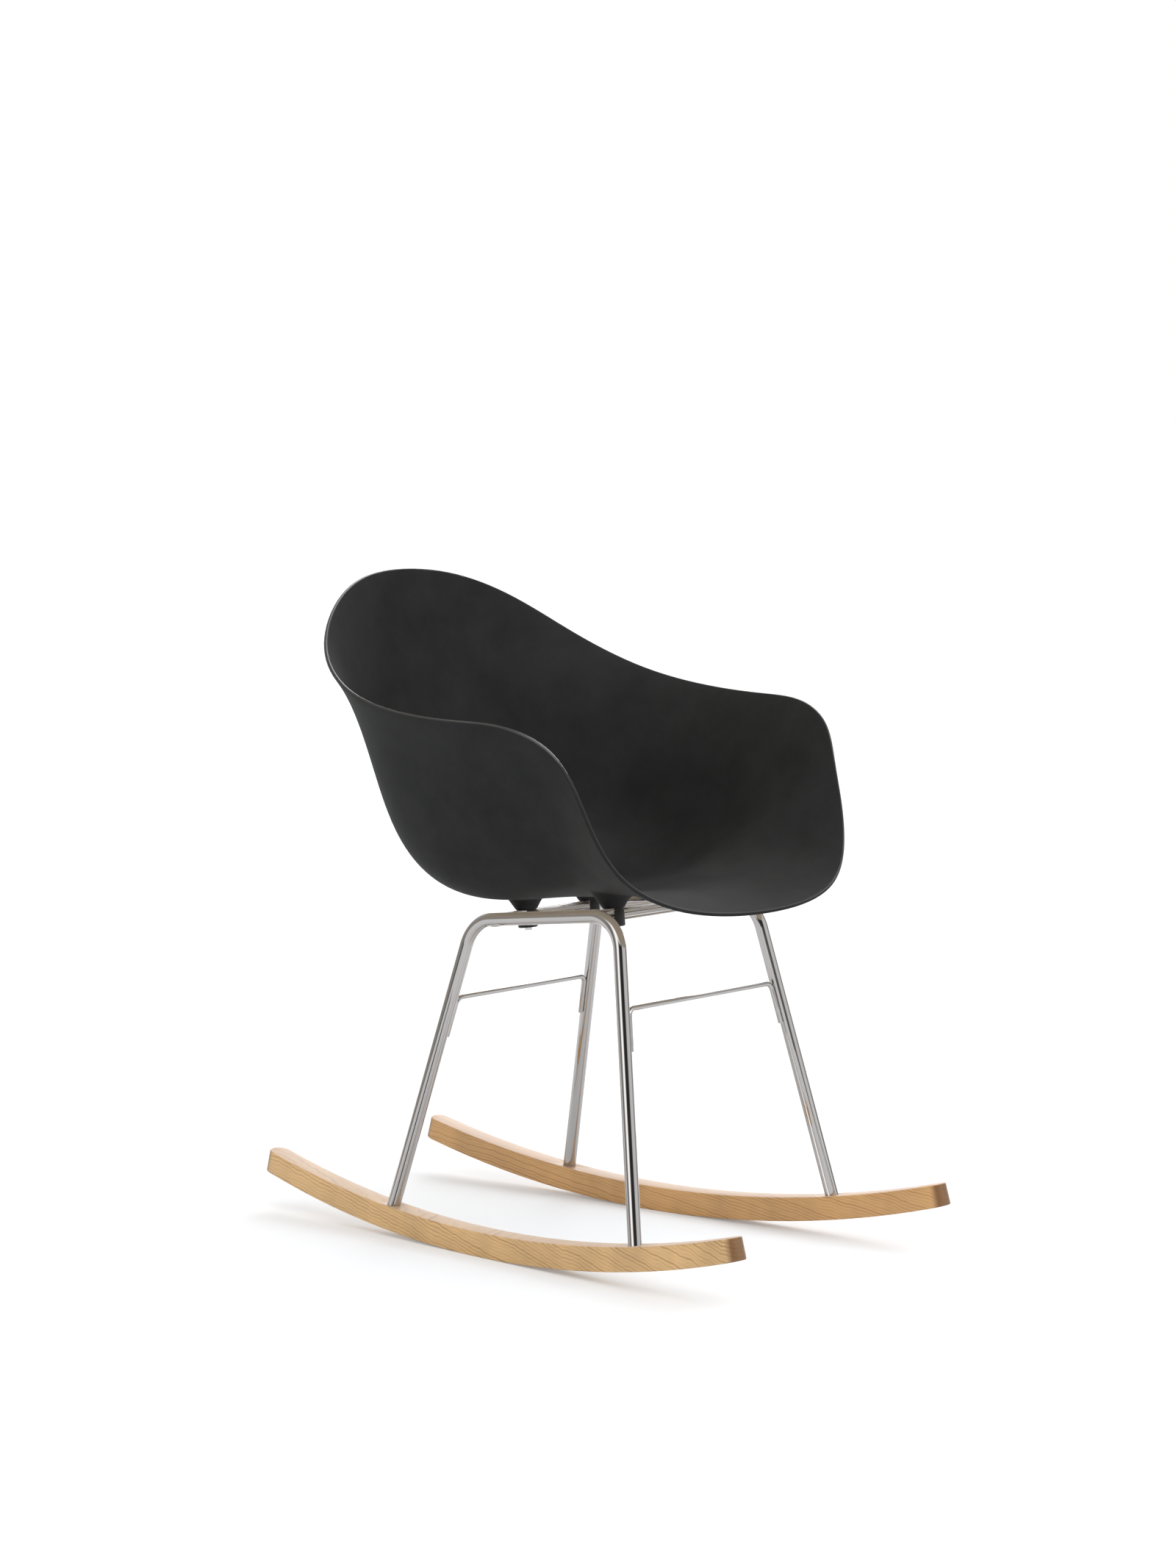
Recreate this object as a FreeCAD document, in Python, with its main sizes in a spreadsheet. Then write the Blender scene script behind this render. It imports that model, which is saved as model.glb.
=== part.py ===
import FreeCAD, Part
import math
import os
import Sketcher
from FreeCAD import Placement, Rotation, Vector

# Rocking armchair: a one-piece moulded bowl on a bent tube frame with two wooden rockers.
# Millimetres, +Z up. The chair faces -Y. The origin lies on the floor, midway between the
# rockers, where the rockers touch the floor when the empty chair stands at rest.

doc = FreeCAD.newDocument("rocking_armchair")
sheet = doc.addObject("Spreadsheet::Sheet", "Sizes")

# Driving dimensions

SIZES = [
    # rockers
    ("rocker_radius", 1492.0, "radius of the rockers' running edge"),
    ("rocker_height", 30.0, "height of the rocker's section at the resting point"),
    ("rocker_top_radius", 1545.0, "radius of the rockers' upper side"),
    ("rocker_width", 29.0, "width of the rocker's section"),
    ("rocker_front_reach", 418.5, "from the resting point to the front end"),
    ("rocker_rear_reach", 387.5, "from the resting point to the rear end"),
    ("rocker_end_round", 14.0, "rounding of the upright end corners"),
    ("rocker_edge_ease", 1.0, "small chamfer of the long edges"),
    ("rocker_gauge", 341.0, "between the rockers' middle planes, abreast of the resting point"),
    # side frames
    ("frame_toe", 3.55, "angle by which both side frames close towards the rear"),
    ("frame_lean", 8.5, "angle by which both side frames lean inwards"),
    ("lean_height", 50.0, "height at which a leaning frame crosses its rocker's middle plane"),
    ("tube_diameter", 16.0, "outer diameter of the frame tube"),
    ("tube_wall", 1.5, "wall of the frame tube"),
    ("bend_radius", 45.0, "centre line radius of the two bends"),
    ("front_corner_back", 170.2, "from the front corner back to the resting point"),
    ("front_corner_rise", 373.5, "from the lean height up to the front corner"),
    ("top_bar_length", 241.0, "between the two corners of a side frame"),
    ("top_bar_slope", 6.65, "fall of the top bar towards the rear"),
    ("front_leg_rake", 12.2, "rake of the front leg in the frame's plane"),
    ("rear_leg_rake", 13.6, "rake of the rear leg in the frame's plane"),
    ("leg_socket_depth", 18.0, "how deep a leg stands in its rocker"),
    ("leg_socket_fit", 0.15, "play round a leg in its socket"),
    # cross tubes
    ("front_tube_back", 135.0, "from the front cross tube back to the resting point"),
    ("rear_tube_back", 30.0, "from the resting point back to the rear cross tube"),
    ("cross_tube_drop", 1.5, "cross tubes below the top bars' centre lines"),
    ("weld_gap", 0.1, "root gap of a welded tube joint"),
    # stretchers
    ("rod_diameter", 6.0, "diameter of the stretcher rods"),
    ("rod_bend_radius", 10.0, "centre line radius of a rod's bends"),
    ("rod_tail", 50.0, "length of a rod's tail along the leg"),
    ("front_rod_height", 312.5, "height of the front stretcher"),
    ("rear_rod_height", 295.0, "height of the rear stretcher"),
    # seat fixings
    ("front_boss_pitch", 176.0, "between the two front bosses"),
    ("rear_boss_pitch", 116.0, "between the two rear bosses"),
    ("boss_diameter", 26.0, "diameter of a boss at its foot"),
    ("boss_draft", 32.0, "angle by which a boss widens upwards"),
    ("boss_cone_length", 26.0, "longest widening part of a boss, below the bowl's floor"),
    ("boss_flare", 14.0, "radius with which a boss runs into the bowl"),
    ("saddle_diameter", 24.0, "diameter of a saddle"),
    ("saddle_floor", 6.0, "thickness of a saddle below its tube"),
    ("saddle_fit", 0.15, "play between a saddle and its tube"),
    ("seat_gap", 0.2, "gap between a saddle and its boss"),
    ("bolt_diameter", 5.0, "thread of the seat bolts"),
    ("bolt_play", 0.5, "play of a bolt in the saddle and the tube"),
    ("bolt_head_across", 8.0, "width across flats of the bolt heads"),
    ("bolt_head_height", 3.5, "height of the bolt heads"),
    ("bolt_engagement", 11.0, "length of the bolt in its insert"),
    ("insert_diameter", 8.0, "outer diameter of the threaded inserts"),
    ("insert_length", 12.0, "length of the threaded inserts"),
    # leg fixings
    ("plug_length", 20.0, "length of the threaded plug in a leg's end"),
    ("plug_fit", 0.05, "play round a plug in its leg"),
    ("foot_screw_diameter", 6.0, "thread of the screws into the legs"),
    ("foot_screw_play", 0.5, "play of a screw in the rocker"),
    ("foot_screw_engagement", 14.0, "length of a screw in its plug"),
    ("foot_head_diameter", 10.5, "diameter of the screws' heads"),
    ("foot_head_height", 3.3, "height of the screws' heads"),
    ("foot_head_recess", 8.0, "depth of a screw's recess in the rocker's underside"),
    ("foot_head_play", 1.5, "play round a screw's head in its recess"),
    # bowl
    ("bowl_wall", 4.6, "wall of the moulded bowl"),
    ("floor_height", 424.8, "height of the bowl's floor, upper side"),
    ("floor_disc_radius", 20.0, "radius of the flat middle of the floor"),
    ("rim_chamfer", 1.0, "chamfer along both edges of the bowl's rim"),
]

# Middle line of the bowl's rim from the lip's middle round to the middle of the back:
# out from the middle plane, back from the resting point, up from the bowl's floor
RIM = [
    ("lip", 0.0, -295.2, -2.2),
    ("lip_inner", 95.0, -288.0, 3.2),
    ("lip_outer", 161.0, -271.0, 19.2),
    ("corner_low", 205.0, -250.0, 49.2),
    ("corner", 229.0, -230.0, 95.2),
    ("corner_high", 241.0, -210.0, 149.2),
    ("arm_front", 255.0, -187.0, 191.2),
    ("arm_tip", 271.0, -140.0, 217.7),
    ("arm", 282.0, -65.0, 224.7),
    ("arm_rear", 283.5, 40.0, 232.2),
    ("shoulder", 268.0, 127.0, 252.2),
    ("shoulder_high", 227.0, 203.0, 293.2),
    ("back_outer", 165.0, 250.0, 339.2),
    ("back_inner", 85.0, 281.0, 371.2),
    ("back", 0.0, 292.2, 379.9),
]

# Belly of the bowl in five directions, by the angle from straight ahead: how far out its turn
# lies and how far up from the bowl's floor, how far the turn eases into the floor and into the
# wall, and how far the wall hangs back below the rim
BELLY = [
    ("ahead", 0, 226.0, 26.2, 58.0, 21.0, 6.0),
    ("front_corner", 45, 212.0, 27.2, 77.0, 42.0, 7.0),
    ("aside", 90, 196.0, -5.8, 53.0, 46.0, 21.0),
    ("rear_corner", 135, 210.0, -6.8, 70.0, 80.0, 24.0),
    ("behind", 180, 184.0, 1.2, 87.0, 87.0, -4.0),
]
BELLY_WORDS = ("reach", "rise", "floor_ease", "wall_ease", "hang")

cells = list(SIZES)
for name, out, back, rise in RIM:
    cells.append((f"rim_{name}_out", out, "rim, out from the middle plane"))
    cells.append((f"rim_{name}_back", back, "rim, back from the resting point"))
    cells.append((f"rim_{name}_rise", rise, "rim, up from the bowl's floor"))
for name, direction, *values in BELLY:
    for word, value in zip(BELLY_WORDS, values):
        cells.append((f"belly_{name}_{word}", value, f"belly at {direction} degrees: {word}"))
for row, (alias, value, note) in enumerate(cells, start=1):
    sheet.set(f"A{row}", note)
    sheet.set(f"B{row}", str(value))
    sheet.setAlias(f"B{row}", alias)
doc.recompute()


def size(alias):
    """The value of one driving dimension."""
    return float(sheet.get(alias))


def bind(thing, prop, expression):
    """Tie a property to the sheet; names in the expression are aliases."""
    thing.setExpression(prop, expression)


# Directions that several pieces share

LEFT = 1
RIGHT = -1
SIDES = (("left", LEFT), ("right", RIGHT))
SLOPE = math.radians(size("top_bar_slope"))
LEAN = math.radians(size("frame_lean"))
TOE = math.radians(size("frame_toe"))


def rocker_placement(side):
    """Where a rocker stands: its middle plane turned by the toe."""
    base = Vector(side * size("rocker_gauge") / 2, 0, 0)
    return Placement(base, Rotation(Vector(0, 0, 1), side * size("frame_toe")))


def frame_placement(side):
    """Where a side frame stands: its plane toed in and leaning inwards."""
    base = Vector(side * size("rocker_gauge") / 2, 0, size("lean_height"))
    toe = Rotation(Vector(0, 0, 1), side * size("frame_toe"))
    lean = Rotation(Vector(0, 1, 0), -side * size("frame_lean"))
    return Placement(base, toe.multiply(lean))


def origin_plane(body, role):
    """One of a body's own origin planes."""
    return next(f for f in body.Origin.OriginFeatures if f.Role == role)


def new_body(label):
    body = doc.addObject("PartDesign::Body", label)
    body.Label = label
    return body


def new_sketch(body, name, role):
    sketch = body.newObject("Sketcher::SketchObject", name)
    sketch.AttachmentSupport = [(origin_plane(body, role), "")]
    sketch.MapMode = "FlatFace"
    return sketch


def constrain(sketch, kind, *where, tie=None):
    """Add a constraint; a dimension is tied to the sheet."""
    index = sketch.addConstraint(Sketcher.Constraint(kind, *where))
    if tie:
        sketch.setExpression(f"Constraints[{index}]", tie)
    return index


# Geometry of a side frame in its own plane: u runs to the rear, v runs up


def frame_corners():
    """Front and rear corner of the frame's centre line, before the bends."""
    front = Vector(0, -size("front_corner_back"), size("front_corner_rise"))
    rear = front + Vector(0, math.cos(SLOPE), -math.sin(SLOPE)) * size("top_bar_length")
    return front, rear


def foot_circle():
    """Centre height and radius of the arc on which the legs end, in the leaning plane."""
    socket_radius = size("rocker_radius") - size("rocker_height") + size("leg_socket_depth")
    lowest = (size("rocker_height") - size("leg_socket_depth") - size("lean_height")) / math.cos(LEAN)
    radius = socket_radius * math.cos(LEAN)
    return lowest + radius, radius


def leg_in_plane(end):
    """Foot point and upward direction of a leg in the frame's own coordinates."""
    front, rear = frame_corners()
    if end == "front":
        corner = front
        rake = math.radians(size("front_leg_rake"))
    else:
        corner = rear
        rake = -math.radians(size("rear_leg_rake"))
    upward = Vector(0, math.sin(rake), math.cos(rake))
    centre_height, radius = foot_circle()
    offset = corner - Vector(0, 0, centre_height)
    along = offset.dot(upward)
    reach = -along - math.sqrt(along**2 - offset.dot(offset) + radius**2)
    return corner + upward * reach, upward


def leg_axis(side, end):
    """Foot point and upward direction of a leg in the chair's coordinates."""
    placement = frame_placement(side)
    foot, upward = leg_in_plane(end)
    return placement.multVec(foot), placement.Rotation.multVec(upward)


def leg_point_at_height(side, end, height):
    foot, upward = leg_axis(side, end)
    return foot + upward * ((height - foot.z) / upward.z)


def top_bar_point(side, back):
    """Point of a top bar's centre line at a given distance back, and its direction."""
    placement = frame_placement(side)
    front, rear = (placement.multVec(corner) for corner in frame_corners())
    direction = (rear - front).normalize()
    return front + direction * ((back - front.y) / direction.y), direction


def cross_tube_centre(back):
    point, _ = top_bar_point(LEFT, back)
    return Vector(0, back, point.z - size("cross_tube_drop"))


FRONT_TUBE = cross_tube_centre(-size("front_tube_back"))
REAR_TUBE = cross_tube_centre(size("rear_tube_back"))
SEAT_TILT = math.atan2(FRONT_TUBE.z - REAR_TUBE.z, REAR_TUBE.y - FRONT_TUBE.y)
SEAT_TURN = Rotation(Vector(1, 0, 0), -math.degrees(SEAT_TILT))


def junctions():
    """Name and placement of the four places where the bowl is bolted to a cross tube."""
    for row, tube, pitch in (
        ("front", FRONT_TUBE, size("front_boss_pitch")),
        ("rear", REAR_TUBE, size("rear_boss_pitch")),
    ):
        for hand, side in SIDES:
            centre = Vector(side * pitch / 2, tube.y, tube.z)
            yield f"{row}_{hand}", Placement(centre, SEAT_TURN)


def legs():
    for end in ("front", "rear"):
        for hand, side in SIDES:
            yield f"{end}_{hand}", side, end


# Side frames: a tube bent twice


def frame_path(body):
    """Centre line of a side frame: leg, bend, top bar, bend, leg."""
    path = new_sketch(body, "CentreLine", "YZ_Plane")
    front, rear = frame_corners()
    front_foot, front_up = leg_in_plane("front")
    rear_foot, rear_up = leg_in_plane("rear")
    radius = size("bend_radius")
    bar = (rear - front).normalize()

    def flat(point):
        return Vector(point.y, point.z, 0)

    def bend(corner, into, out_of):
        """Tangent points and centre of the bend between two directions."""
        half_turn = into.getAngle(out_of) / 2
        setback = radius * math.tan(half_turn)
        bisector = (out_of - into).normalize()
        centre = corner + bisector * (radius / math.cos(half_turn))
        return corner - into * setback, corner + out_of * setback, centre

    front_leg_top, bar_front, front_centre = bend(front, front_up, bar)
    bar_rear, rear_leg_top, rear_centre = bend(rear, bar, rear_up * -1)

    def arc(centre, first, last):
        start = math.atan2(first.z - centre.z, first.y - centre.y)
        stop = math.atan2(last.z - centre.z, last.y - centre.y)
        return Part.ArcOfCircle(Part.Circle(flat(centre), Vector(0, 0, 1), radius), start, stop)

    leg_front = path.addGeometry(Part.LineSegment(flat(front_foot), flat(front_leg_top)), False)
    bend_front = path.addGeometry(arc(front_centre, bar_front, front_leg_top), False)
    top_bar = path.addGeometry(Part.LineSegment(flat(bar_front), flat(bar_rear)), False)
    bend_rear = path.addGeometry(arc(rear_centre, rear_leg_top, bar_rear), False)
    leg_rear = path.addGeometry(Part.LineSegment(flat(rear_foot), flat(rear_leg_top)), False)
    corner_front = path.addGeometry(Part.Point(flat(front)), True)
    corner_rear = path.addGeometry(Part.Point(flat(rear)), True)
    foot_height, foot_radius = foot_circle()
    feet = path.addGeometry(Part.Circle(Vector(0, foot_height, 0), Vector(0, 0, 1), foot_radius), True)

    constrain(path, "Tangent", leg_front, 2, bend_front, 2)
    constrain(path, "Tangent", bend_front, 1, top_bar, 1)
    constrain(path, "Tangent", top_bar, 2, bend_rear, 2)
    constrain(path, "Tangent", bend_rear, 1, leg_rear, 2)
    constrain(path, "PointOnObject", corner_front, 1, leg_front)
    constrain(path, "PointOnObject", corner_front, 1, top_bar)
    constrain(path, "PointOnObject", corner_rear, 1, top_bar)
    constrain(path, "PointOnObject", corner_rear, 1, leg_rear)
    constrain(path, "PointOnObject", leg_front, 1, feet)
    constrain(path, "PointOnObject", leg_rear, 1, feet)
    constrain(path, "PointOnObject", feet, 3, -2)
    constrain(path, "DistanceX", corner_front, 1, -1, 1, -front.y, tie="Sizes.front_corner_back")
    constrain(path, "DistanceY", -1, 1, corner_front, 1, front.z, tie="Sizes.front_corner_rise")
    constrain(path, "Distance", corner_front, 1, corner_rear, 1, (rear - front).Length,
              tie="Sizes.top_bar_length")
    constrain(path, "DistanceY", corner_rear, 1, corner_front, 1, front.z - rear.z,
              tie="Sizes.top_bar_length * sin(Sizes.top_bar_slope * 1 deg)")
    constrain(path, "Angle", leg_front, math.pi / 2 - math.radians(size("front_leg_rake")),
              tie="90 deg - Sizes.front_leg_rake * 1 deg")
    constrain(path, "Angle", leg_rear, math.pi / 2 + math.radians(size("rear_leg_rake")),
              tie="90 deg + Sizes.rear_leg_rake * 1 deg")
    constrain(path, "Radius", bend_front, radius, tie="Sizes.bend_radius")
    constrain(path, "Radius", bend_rear, radius, tie="Sizes.bend_radius")
    socket_radius = "(Sizes.rocker_radius - Sizes.rocker_height + Sizes.leg_socket_depth)"
    lean = "cos(Sizes.frame_lean * 1 deg)"
    lowest = "(Sizes.rocker_height - Sizes.leg_socket_depth - Sizes.lean_height)"
    constrain(path, "Radius", feet, foot_radius, tie=f"{socket_radius} * {lean}")
    constrain(path, "DistanceY", -1, 1, feet, 3, foot_height,
              tie=f"{lowest} / {lean} + {socket_radius} * {lean}")
    return path, 5


def tube_section(body, path, outer, inner=None):
    """Round section square to the start of a path."""
    section = body.newObject("Sketcher::SketchObject", "Section")
    section.AttachmentSupport = [(path, "Edge1")]
    section.MapMode = "NormalToEdge"
    for value, tie in filter(None, (outer, inner)):
        circle = section.addGeometry(Part.Circle(Vector(0, 0, 0), Vector(0, 0, 1), value / 2), False)
        constrain(section, "Coincident", circle, 3, -1, 1)
        constrain(section, "Diameter", circle, value, tie=tie)
    return section


def sweep(body, path, edges, outer, inner=None):
    """Sweep a round section along a path of the body."""
    doc.recompute()
    section = tube_section(body, path, outer, inner)
    doc.recompute()
    pipe = body.newObject("PartDesign::AdditivePipe", "Tube")
    pipe.Profile = section
    pipe.Spine = (path, [f"Edge{number + 1}" for number in range(edges)])
    doc.recompute()
    return pipe


def make_side_frame(hand, side):
    body = new_body(f"side_frame_{hand}")
    path, edges = frame_path(body)
    bore = size("tube_diameter") - 2 * size("tube_wall")
    outer = (size("tube_diameter"), "Sizes.tube_diameter")
    inner = (bore, "Sizes.tube_diameter - 2 * Sizes.tube_wall")
    sweep(body, path, edges, outer, inner)
    body.Placement = frame_placement(side)
    return body


# Stretchers: a thin rod between two legs, with a tail down the inner side of each


def make_stretcher(end, height_alias):
    body = new_body(f"stretcher_{end}")
    height = size(height_alias)
    crossing = leg_point_at_height(LEFT, end, height)
    _, upward = leg_axis(LEFT, end)
    tilt = math.atan2(-upward.y, upward.z)
    spread = math.atan2(-upward.x, math.hypot(upward.y, upward.z))
    beside = (size("tube_diameter") + size("rod_diameter")) / 2 + size("weld_gap")
    half_span = crossing.x - beside / math.cos(spread)
    tail = size("rod_tail")
    radius = size("rod_bend_radius")
    setback = radius * math.tan((math.pi / 2 - spread) / 2)
    downward = Vector(math.sin(spread), -math.cos(spread), 0)

    path = new_sketch(body, "CentreLine", "XZ_Plane")
    corner = Vector(half_span, 0, 0)
    span_end = corner - Vector(setback, 0, 0)
    tail_top = corner + downward * setback
    tail_end = corner + downward * tail
    centre = span_end - Vector(0, radius, 0)

    def mirrored(point):
        return Vector(-point.x, point.y, 0)

    def arc(middle, first, last):
        start = math.atan2(first.y - middle.y, first.x - middle.x)
        stop = math.atan2(last.y - middle.y, last.x - middle.x)
        return Part.ArcOfCircle(Part.Circle(middle, Vector(0, 0, 1), radius), start, stop)

    tail_right = path.addGeometry(Part.LineSegment(mirrored(tail_end), mirrored(tail_top)), False)
    bend_right = path.addGeometry(arc(mirrored(centre), mirrored(span_end), mirrored(tail_top)), False)
    span = path.addGeometry(Part.LineSegment(mirrored(span_end), span_end), False)
    bend_left = path.addGeometry(arc(centre, tail_top, span_end), False)
    tail_left = path.addGeometry(Part.LineSegment(tail_end, tail_top), False)
    corner_left = path.addGeometry(Part.Point(corner), True)
    corner_right = path.addGeometry(Part.Point(mirrored(corner)), True)
    constrain(path, "Tangent", tail_right, 2, bend_right, 2)
    constrain(path, "Tangent", bend_right, 1, span, 1)
    constrain(path, "Tangent", span, 2, bend_left, 2)
    constrain(path, "Tangent", bend_left, 1, tail_left, 2)
    constrain(path, "PointOnObject", span, 1, -1)
    constrain(path, "PointOnObject", span, 2, -1)
    constrain(path, "PointOnObject", corner_left, 1, tail_left)
    constrain(path, "PointOnObject", corner_right, 1, tail_right)
    constrain(path, "PointOnObject", corner_left, 1, -1)
    constrain(path, "PointOnObject", corner_right, 1, -1)
    constrain(path, "DistanceX", -1, 1, corner_left, 1, half_span)
    constrain(path, "DistanceX", corner_right, 1, -1, 1, half_span)
    constrain(path, "Angle", tail_left, math.pi / 2 + spread)
    constrain(path, "Angle", tail_right, math.pi / 2 - spread)
    constrain(path, "Radius", bend_left, radius, tie="Sizes.rod_bend_radius")
    constrain(path, "Radius", bend_right, radius, tie="Sizes.rod_bend_radius")
    constrain(path, "Distance", corner_left, 1, tail_left, 1, tail, tie="Sizes.rod_tail")
    constrain(path, "Distance", corner_right, 1, tail_right, 1, tail, tie="Sizes.rod_tail")
    sweep(body, path, 5, (size("rod_diameter"), "Sizes.rod_diameter"))
    body.Placement = Placement(Vector(0, crossing.y, height), Rotation(Vector(1, 0, 0), math.degrees(tilt)))
    return body


# Cross tubes: straight tubes coped to the top bars and drilled for the seat bolts


def cylinder(name, radius, height, placement):
    """A round bar; radius and height are expressions on the sheet."""
    bar = doc.addObject("Part::Cylinder", name)
    bind(bar, "Radius", radius)
    bind(bar, "Height", height)
    bar.Placement = placement
    return bar


def cut(label, base, tools):
    """Cut tools out of a base, one after the other; the last cut carries the label."""
    for tool in tools:
        step = doc.addObject("Part::Cut", label if tool is tools[-1] else f"{label}_blank")
        step.Base = base
        step.Tool = tool
        base = step
    base.Label = label
    return base


def along(direction, start):
    """Placement that carries the Z axis onto a direction."""
    return Placement(start, Rotation(Vector(0, 0, 1), direction))


def make_cross_tube(name, centre, pitch_alias):
    label = f"cross_tube_{name}"
    end, _ = top_bar_point(LEFT, centre.y)
    half = end.x
    lying = along(Vector(1, 0, 0), Vector(-half, centre.y, centre.z))
    outer = cylinder(f"{label}_outside", "Sizes.tube_diameter / 2", f"{2 * half}", lying)
    bore = cylinder(f"{label}_bore", "Sizes.tube_diameter / 2 - Sizes.tube_wall", f"{2 * half}", lying)
    tools = [bore]
    reach = 2 * size("tube_diameter")
    for hand, side in SIDES:
        axis_point, direction = top_bar_point(side, centre.y)
        cope = cylinder(f"{label}_cope_{hand}", "Sizes.tube_diameter / 2 + Sizes.weld_gap", f"{2 * reach}",
                        along(direction, axis_point - direction * reach))
        tools.append(cope)
        drop = Vector(side * size(pitch_alias) / 2, centre.y, centre.z)
        upright = Placement(drop, SEAT_TURN)
        below = Placement(Vector(0, 0, -reach / 2), Rotation())
        drill = cylinder(f"{label}_drill_{hand}", "(Sizes.bolt_diameter + Sizes.bolt_play) / 2",
                         f"{reach}", upright.multiply(below))
        tools.append(drill)
    return cut(label, outer, tools)


# Saddles: black blocks that wrap a cross tube from below and close against a boss


def make_saddle(label, placement):
    body = new_body(f"saddle_{label}")
    radius = size("tube_diameter") / 2
    floor = size("saddle_floor")

    disc = new_sketch(body, "Disc", "XY_Plane")
    rim = disc.addGeometry(Part.Circle(Vector(0, 0, 0), Vector(0, 0, 1), size("saddle_diameter") / 2), False)
    constrain(disc, "Coincident", rim, 3, -1, 1)
    constrain(disc, "Diameter", rim, size("saddle_diameter"), tie="Sizes.saddle_diameter")
    disc.setExpression("AttachmentOffset.Base.z", "-(Sizes.tube_diameter / 2 + Sizes.saddle_floor)")
    block = body.newObject("PartDesign::Pad", "Block")
    block.Profile = disc
    bind(block, "Length", "Sizes.tube_diameter + Sizes.saddle_floor")
    doc.recompute()

    gap = radius + size("saddle_fit")
    outline = new_sketch(body, "ChannelOutline", "YZ_Plane")
    above = 2 * radius
    seat = outline.addGeometry(
        Part.ArcOfCircle(Part.Circle(Vector(0, 0, 0), Vector(0, 0, 1), gap), math.pi, 2 * math.pi), False)
    wall_front = outline.addGeometry(Part.LineSegment(Vector(-gap, above, 0), Vector(-gap, 0, 0)), False)
    wall_rear = outline.addGeometry(Part.LineSegment(Vector(gap, 0, 0), Vector(gap, above, 0)), False)
    lid = outline.addGeometry(Part.LineSegment(Vector(gap, above, 0), Vector(-gap, above, 0)), False)
    constrain(outline, "Coincident", seat, 3, -1, 1)
    constrain(outline, "Tangent", wall_front, 2, seat, 1)
    constrain(outline, "Tangent", seat, 2, wall_rear, 1)
    constrain(outline, "Coincident", wall_rear, 2, lid, 1)
    constrain(outline, "Coincident", lid, 2, wall_front, 1)
    constrain(outline, "Vertical", wall_front)
    constrain(outline, "Vertical", wall_rear)
    constrain(outline, "Horizontal", lid)
    constrain(outline, "Radius", seat, gap, tie="Sizes.tube_diameter / 2 + Sizes.saddle_fit")
    constrain(outline, "DistanceY", -1, 1, lid, 1, above, tie="Sizes.tube_diameter")
    channel = body.newObject("PartDesign::Pocket", "Channel")
    channel.Profile = outline
    channel.Midplane = True
    channel.Type = "ThroughAll"
    doc.recompute()

    drill = new_sketch(body, "Drill", "XY_Plane")
    hole = drill.addGeometry(Part.Circle(Vector(0, 0, 0), Vector(0, 0, 1), size("bolt_diameter") / 2), False)
    constrain(drill, "Coincident", hole, 3, -1, 1)
    constrain(drill, "Diameter", hole, size("bolt_diameter"), tie="Sizes.bolt_diameter + Sizes.bolt_play")
    bolt_hole = body.newObject("PartDesign::Pocket", "BoltHole")
    bolt_hole.Profile = drill
    bolt_hole.Midplane = True
    bolt_hole.Type = "ThroughAll"
    doc.recompute()

    underside = -(radius + floor)
    lower_rim = [
        f"Edge{number}"
        for number, edge in enumerate(bolt_hole.Shape.Edges, start=1)
        if edge.BoundBox.ZMax < underside + 0.01 and edge.BoundBox.XMax > size("bolt_diameter")
    ]
    softened = body.newObject("PartDesign::Chamfer", "LowerRim")
    softened.Base = (bolt_hole, lower_rim)
    bind(softened, "Size", "Sizes.saddle_floor / 6")
    doc.recompute()
    body.Placement = placement
    return body


# Seat fixings: four hexagon bolts through the saddles and tubes into inserts in the bosses


def compound(label, pieces):
    group = doc.addObject("Part::Compound", label)
    group.Links = pieces
    group.Label = label
    return group


def fuse(label, base, tool):
    joined = doc.addObject("Part::Fuse", label)
    joined.Base = base
    joined.Tool = tool
    return joined


def make_seat_bolts():
    underside = -(size("tube_diameter") / 2 + size("saddle_floor"))
    bolts = []
    for name, placement in junctions():
        head = doc.addObject("Part::Prism", f"bolt_head_{name}")
        head.Polygon = 6
        bind(head, "Circumradius", "Sizes.bolt_head_across / sqrt(3)")
        bind(head, "Height", "Sizes.bolt_head_height")
        below = Vector(0, 0, underside - size("bolt_head_height"))
        head.Placement = placement.multiply(Placement(below, Rotation()))
        shank_length = ("Sizes.saddle_floor + Sizes.tube_diameter + Sizes.seat_gap"
                        " + Sizes.bolt_engagement + Sizes.bolt_head_height / 2")
        inside_head = Vector(0, 0, underside - size("bolt_head_height") / 2)
        shank = cylinder(f"bolt_shank_{name}", "Sizes.bolt_diameter / 2", shank_length,
                         placement.multiply(Placement(inside_head, Rotation())))
        bolts.append(fuse(f"bolt_{name}", head, shank))
    return compound("seat_bolt_group", bolts)


def make_boss_inserts():
    above = size("tube_diameter") / 2 + size("seat_gap")
    inserts = []
    for name, placement in junctions():
        seat = placement.multiply(Placement(Vector(0, 0, above), Rotation()))
        body = cylinder(f"insert_body_{name}", "Sizes.insert_diameter / 2 - Sizes.plug_fit",
                        "Sizes.insert_length", seat)
        thread = cylinder(f"insert_thread_{name}", "Sizes.bolt_diameter / 2 + Sizes.plug_fit",
                          "Sizes.insert_length", seat)
        inserts.append(cut(f"insert_{name}", body, [thread]))
    return compound("seat_insert_group", inserts)


# Leg fixings: a threaded plug in each leg's end and a screw from under the rocker


def make_leg_plug(name, side, end):
    foot, upward = leg_axis(side, end)
    label = f"leg_plug_{name}"
    standing = along(upward, foot)
    bore = "Sizes.tube_diameter / 2 - Sizes.tube_wall"
    body = cylinder(f"{label}_body", f"{bore} - Sizes.plug_fit", "Sizes.plug_length", standing)
    thread = cylinder(f"{label}_thread", "Sizes.foot_screw_diameter / 2 + Sizes.plug_fit",
                      "Sizes.plug_length", standing)
    return cut(label, body, [thread])


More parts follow.
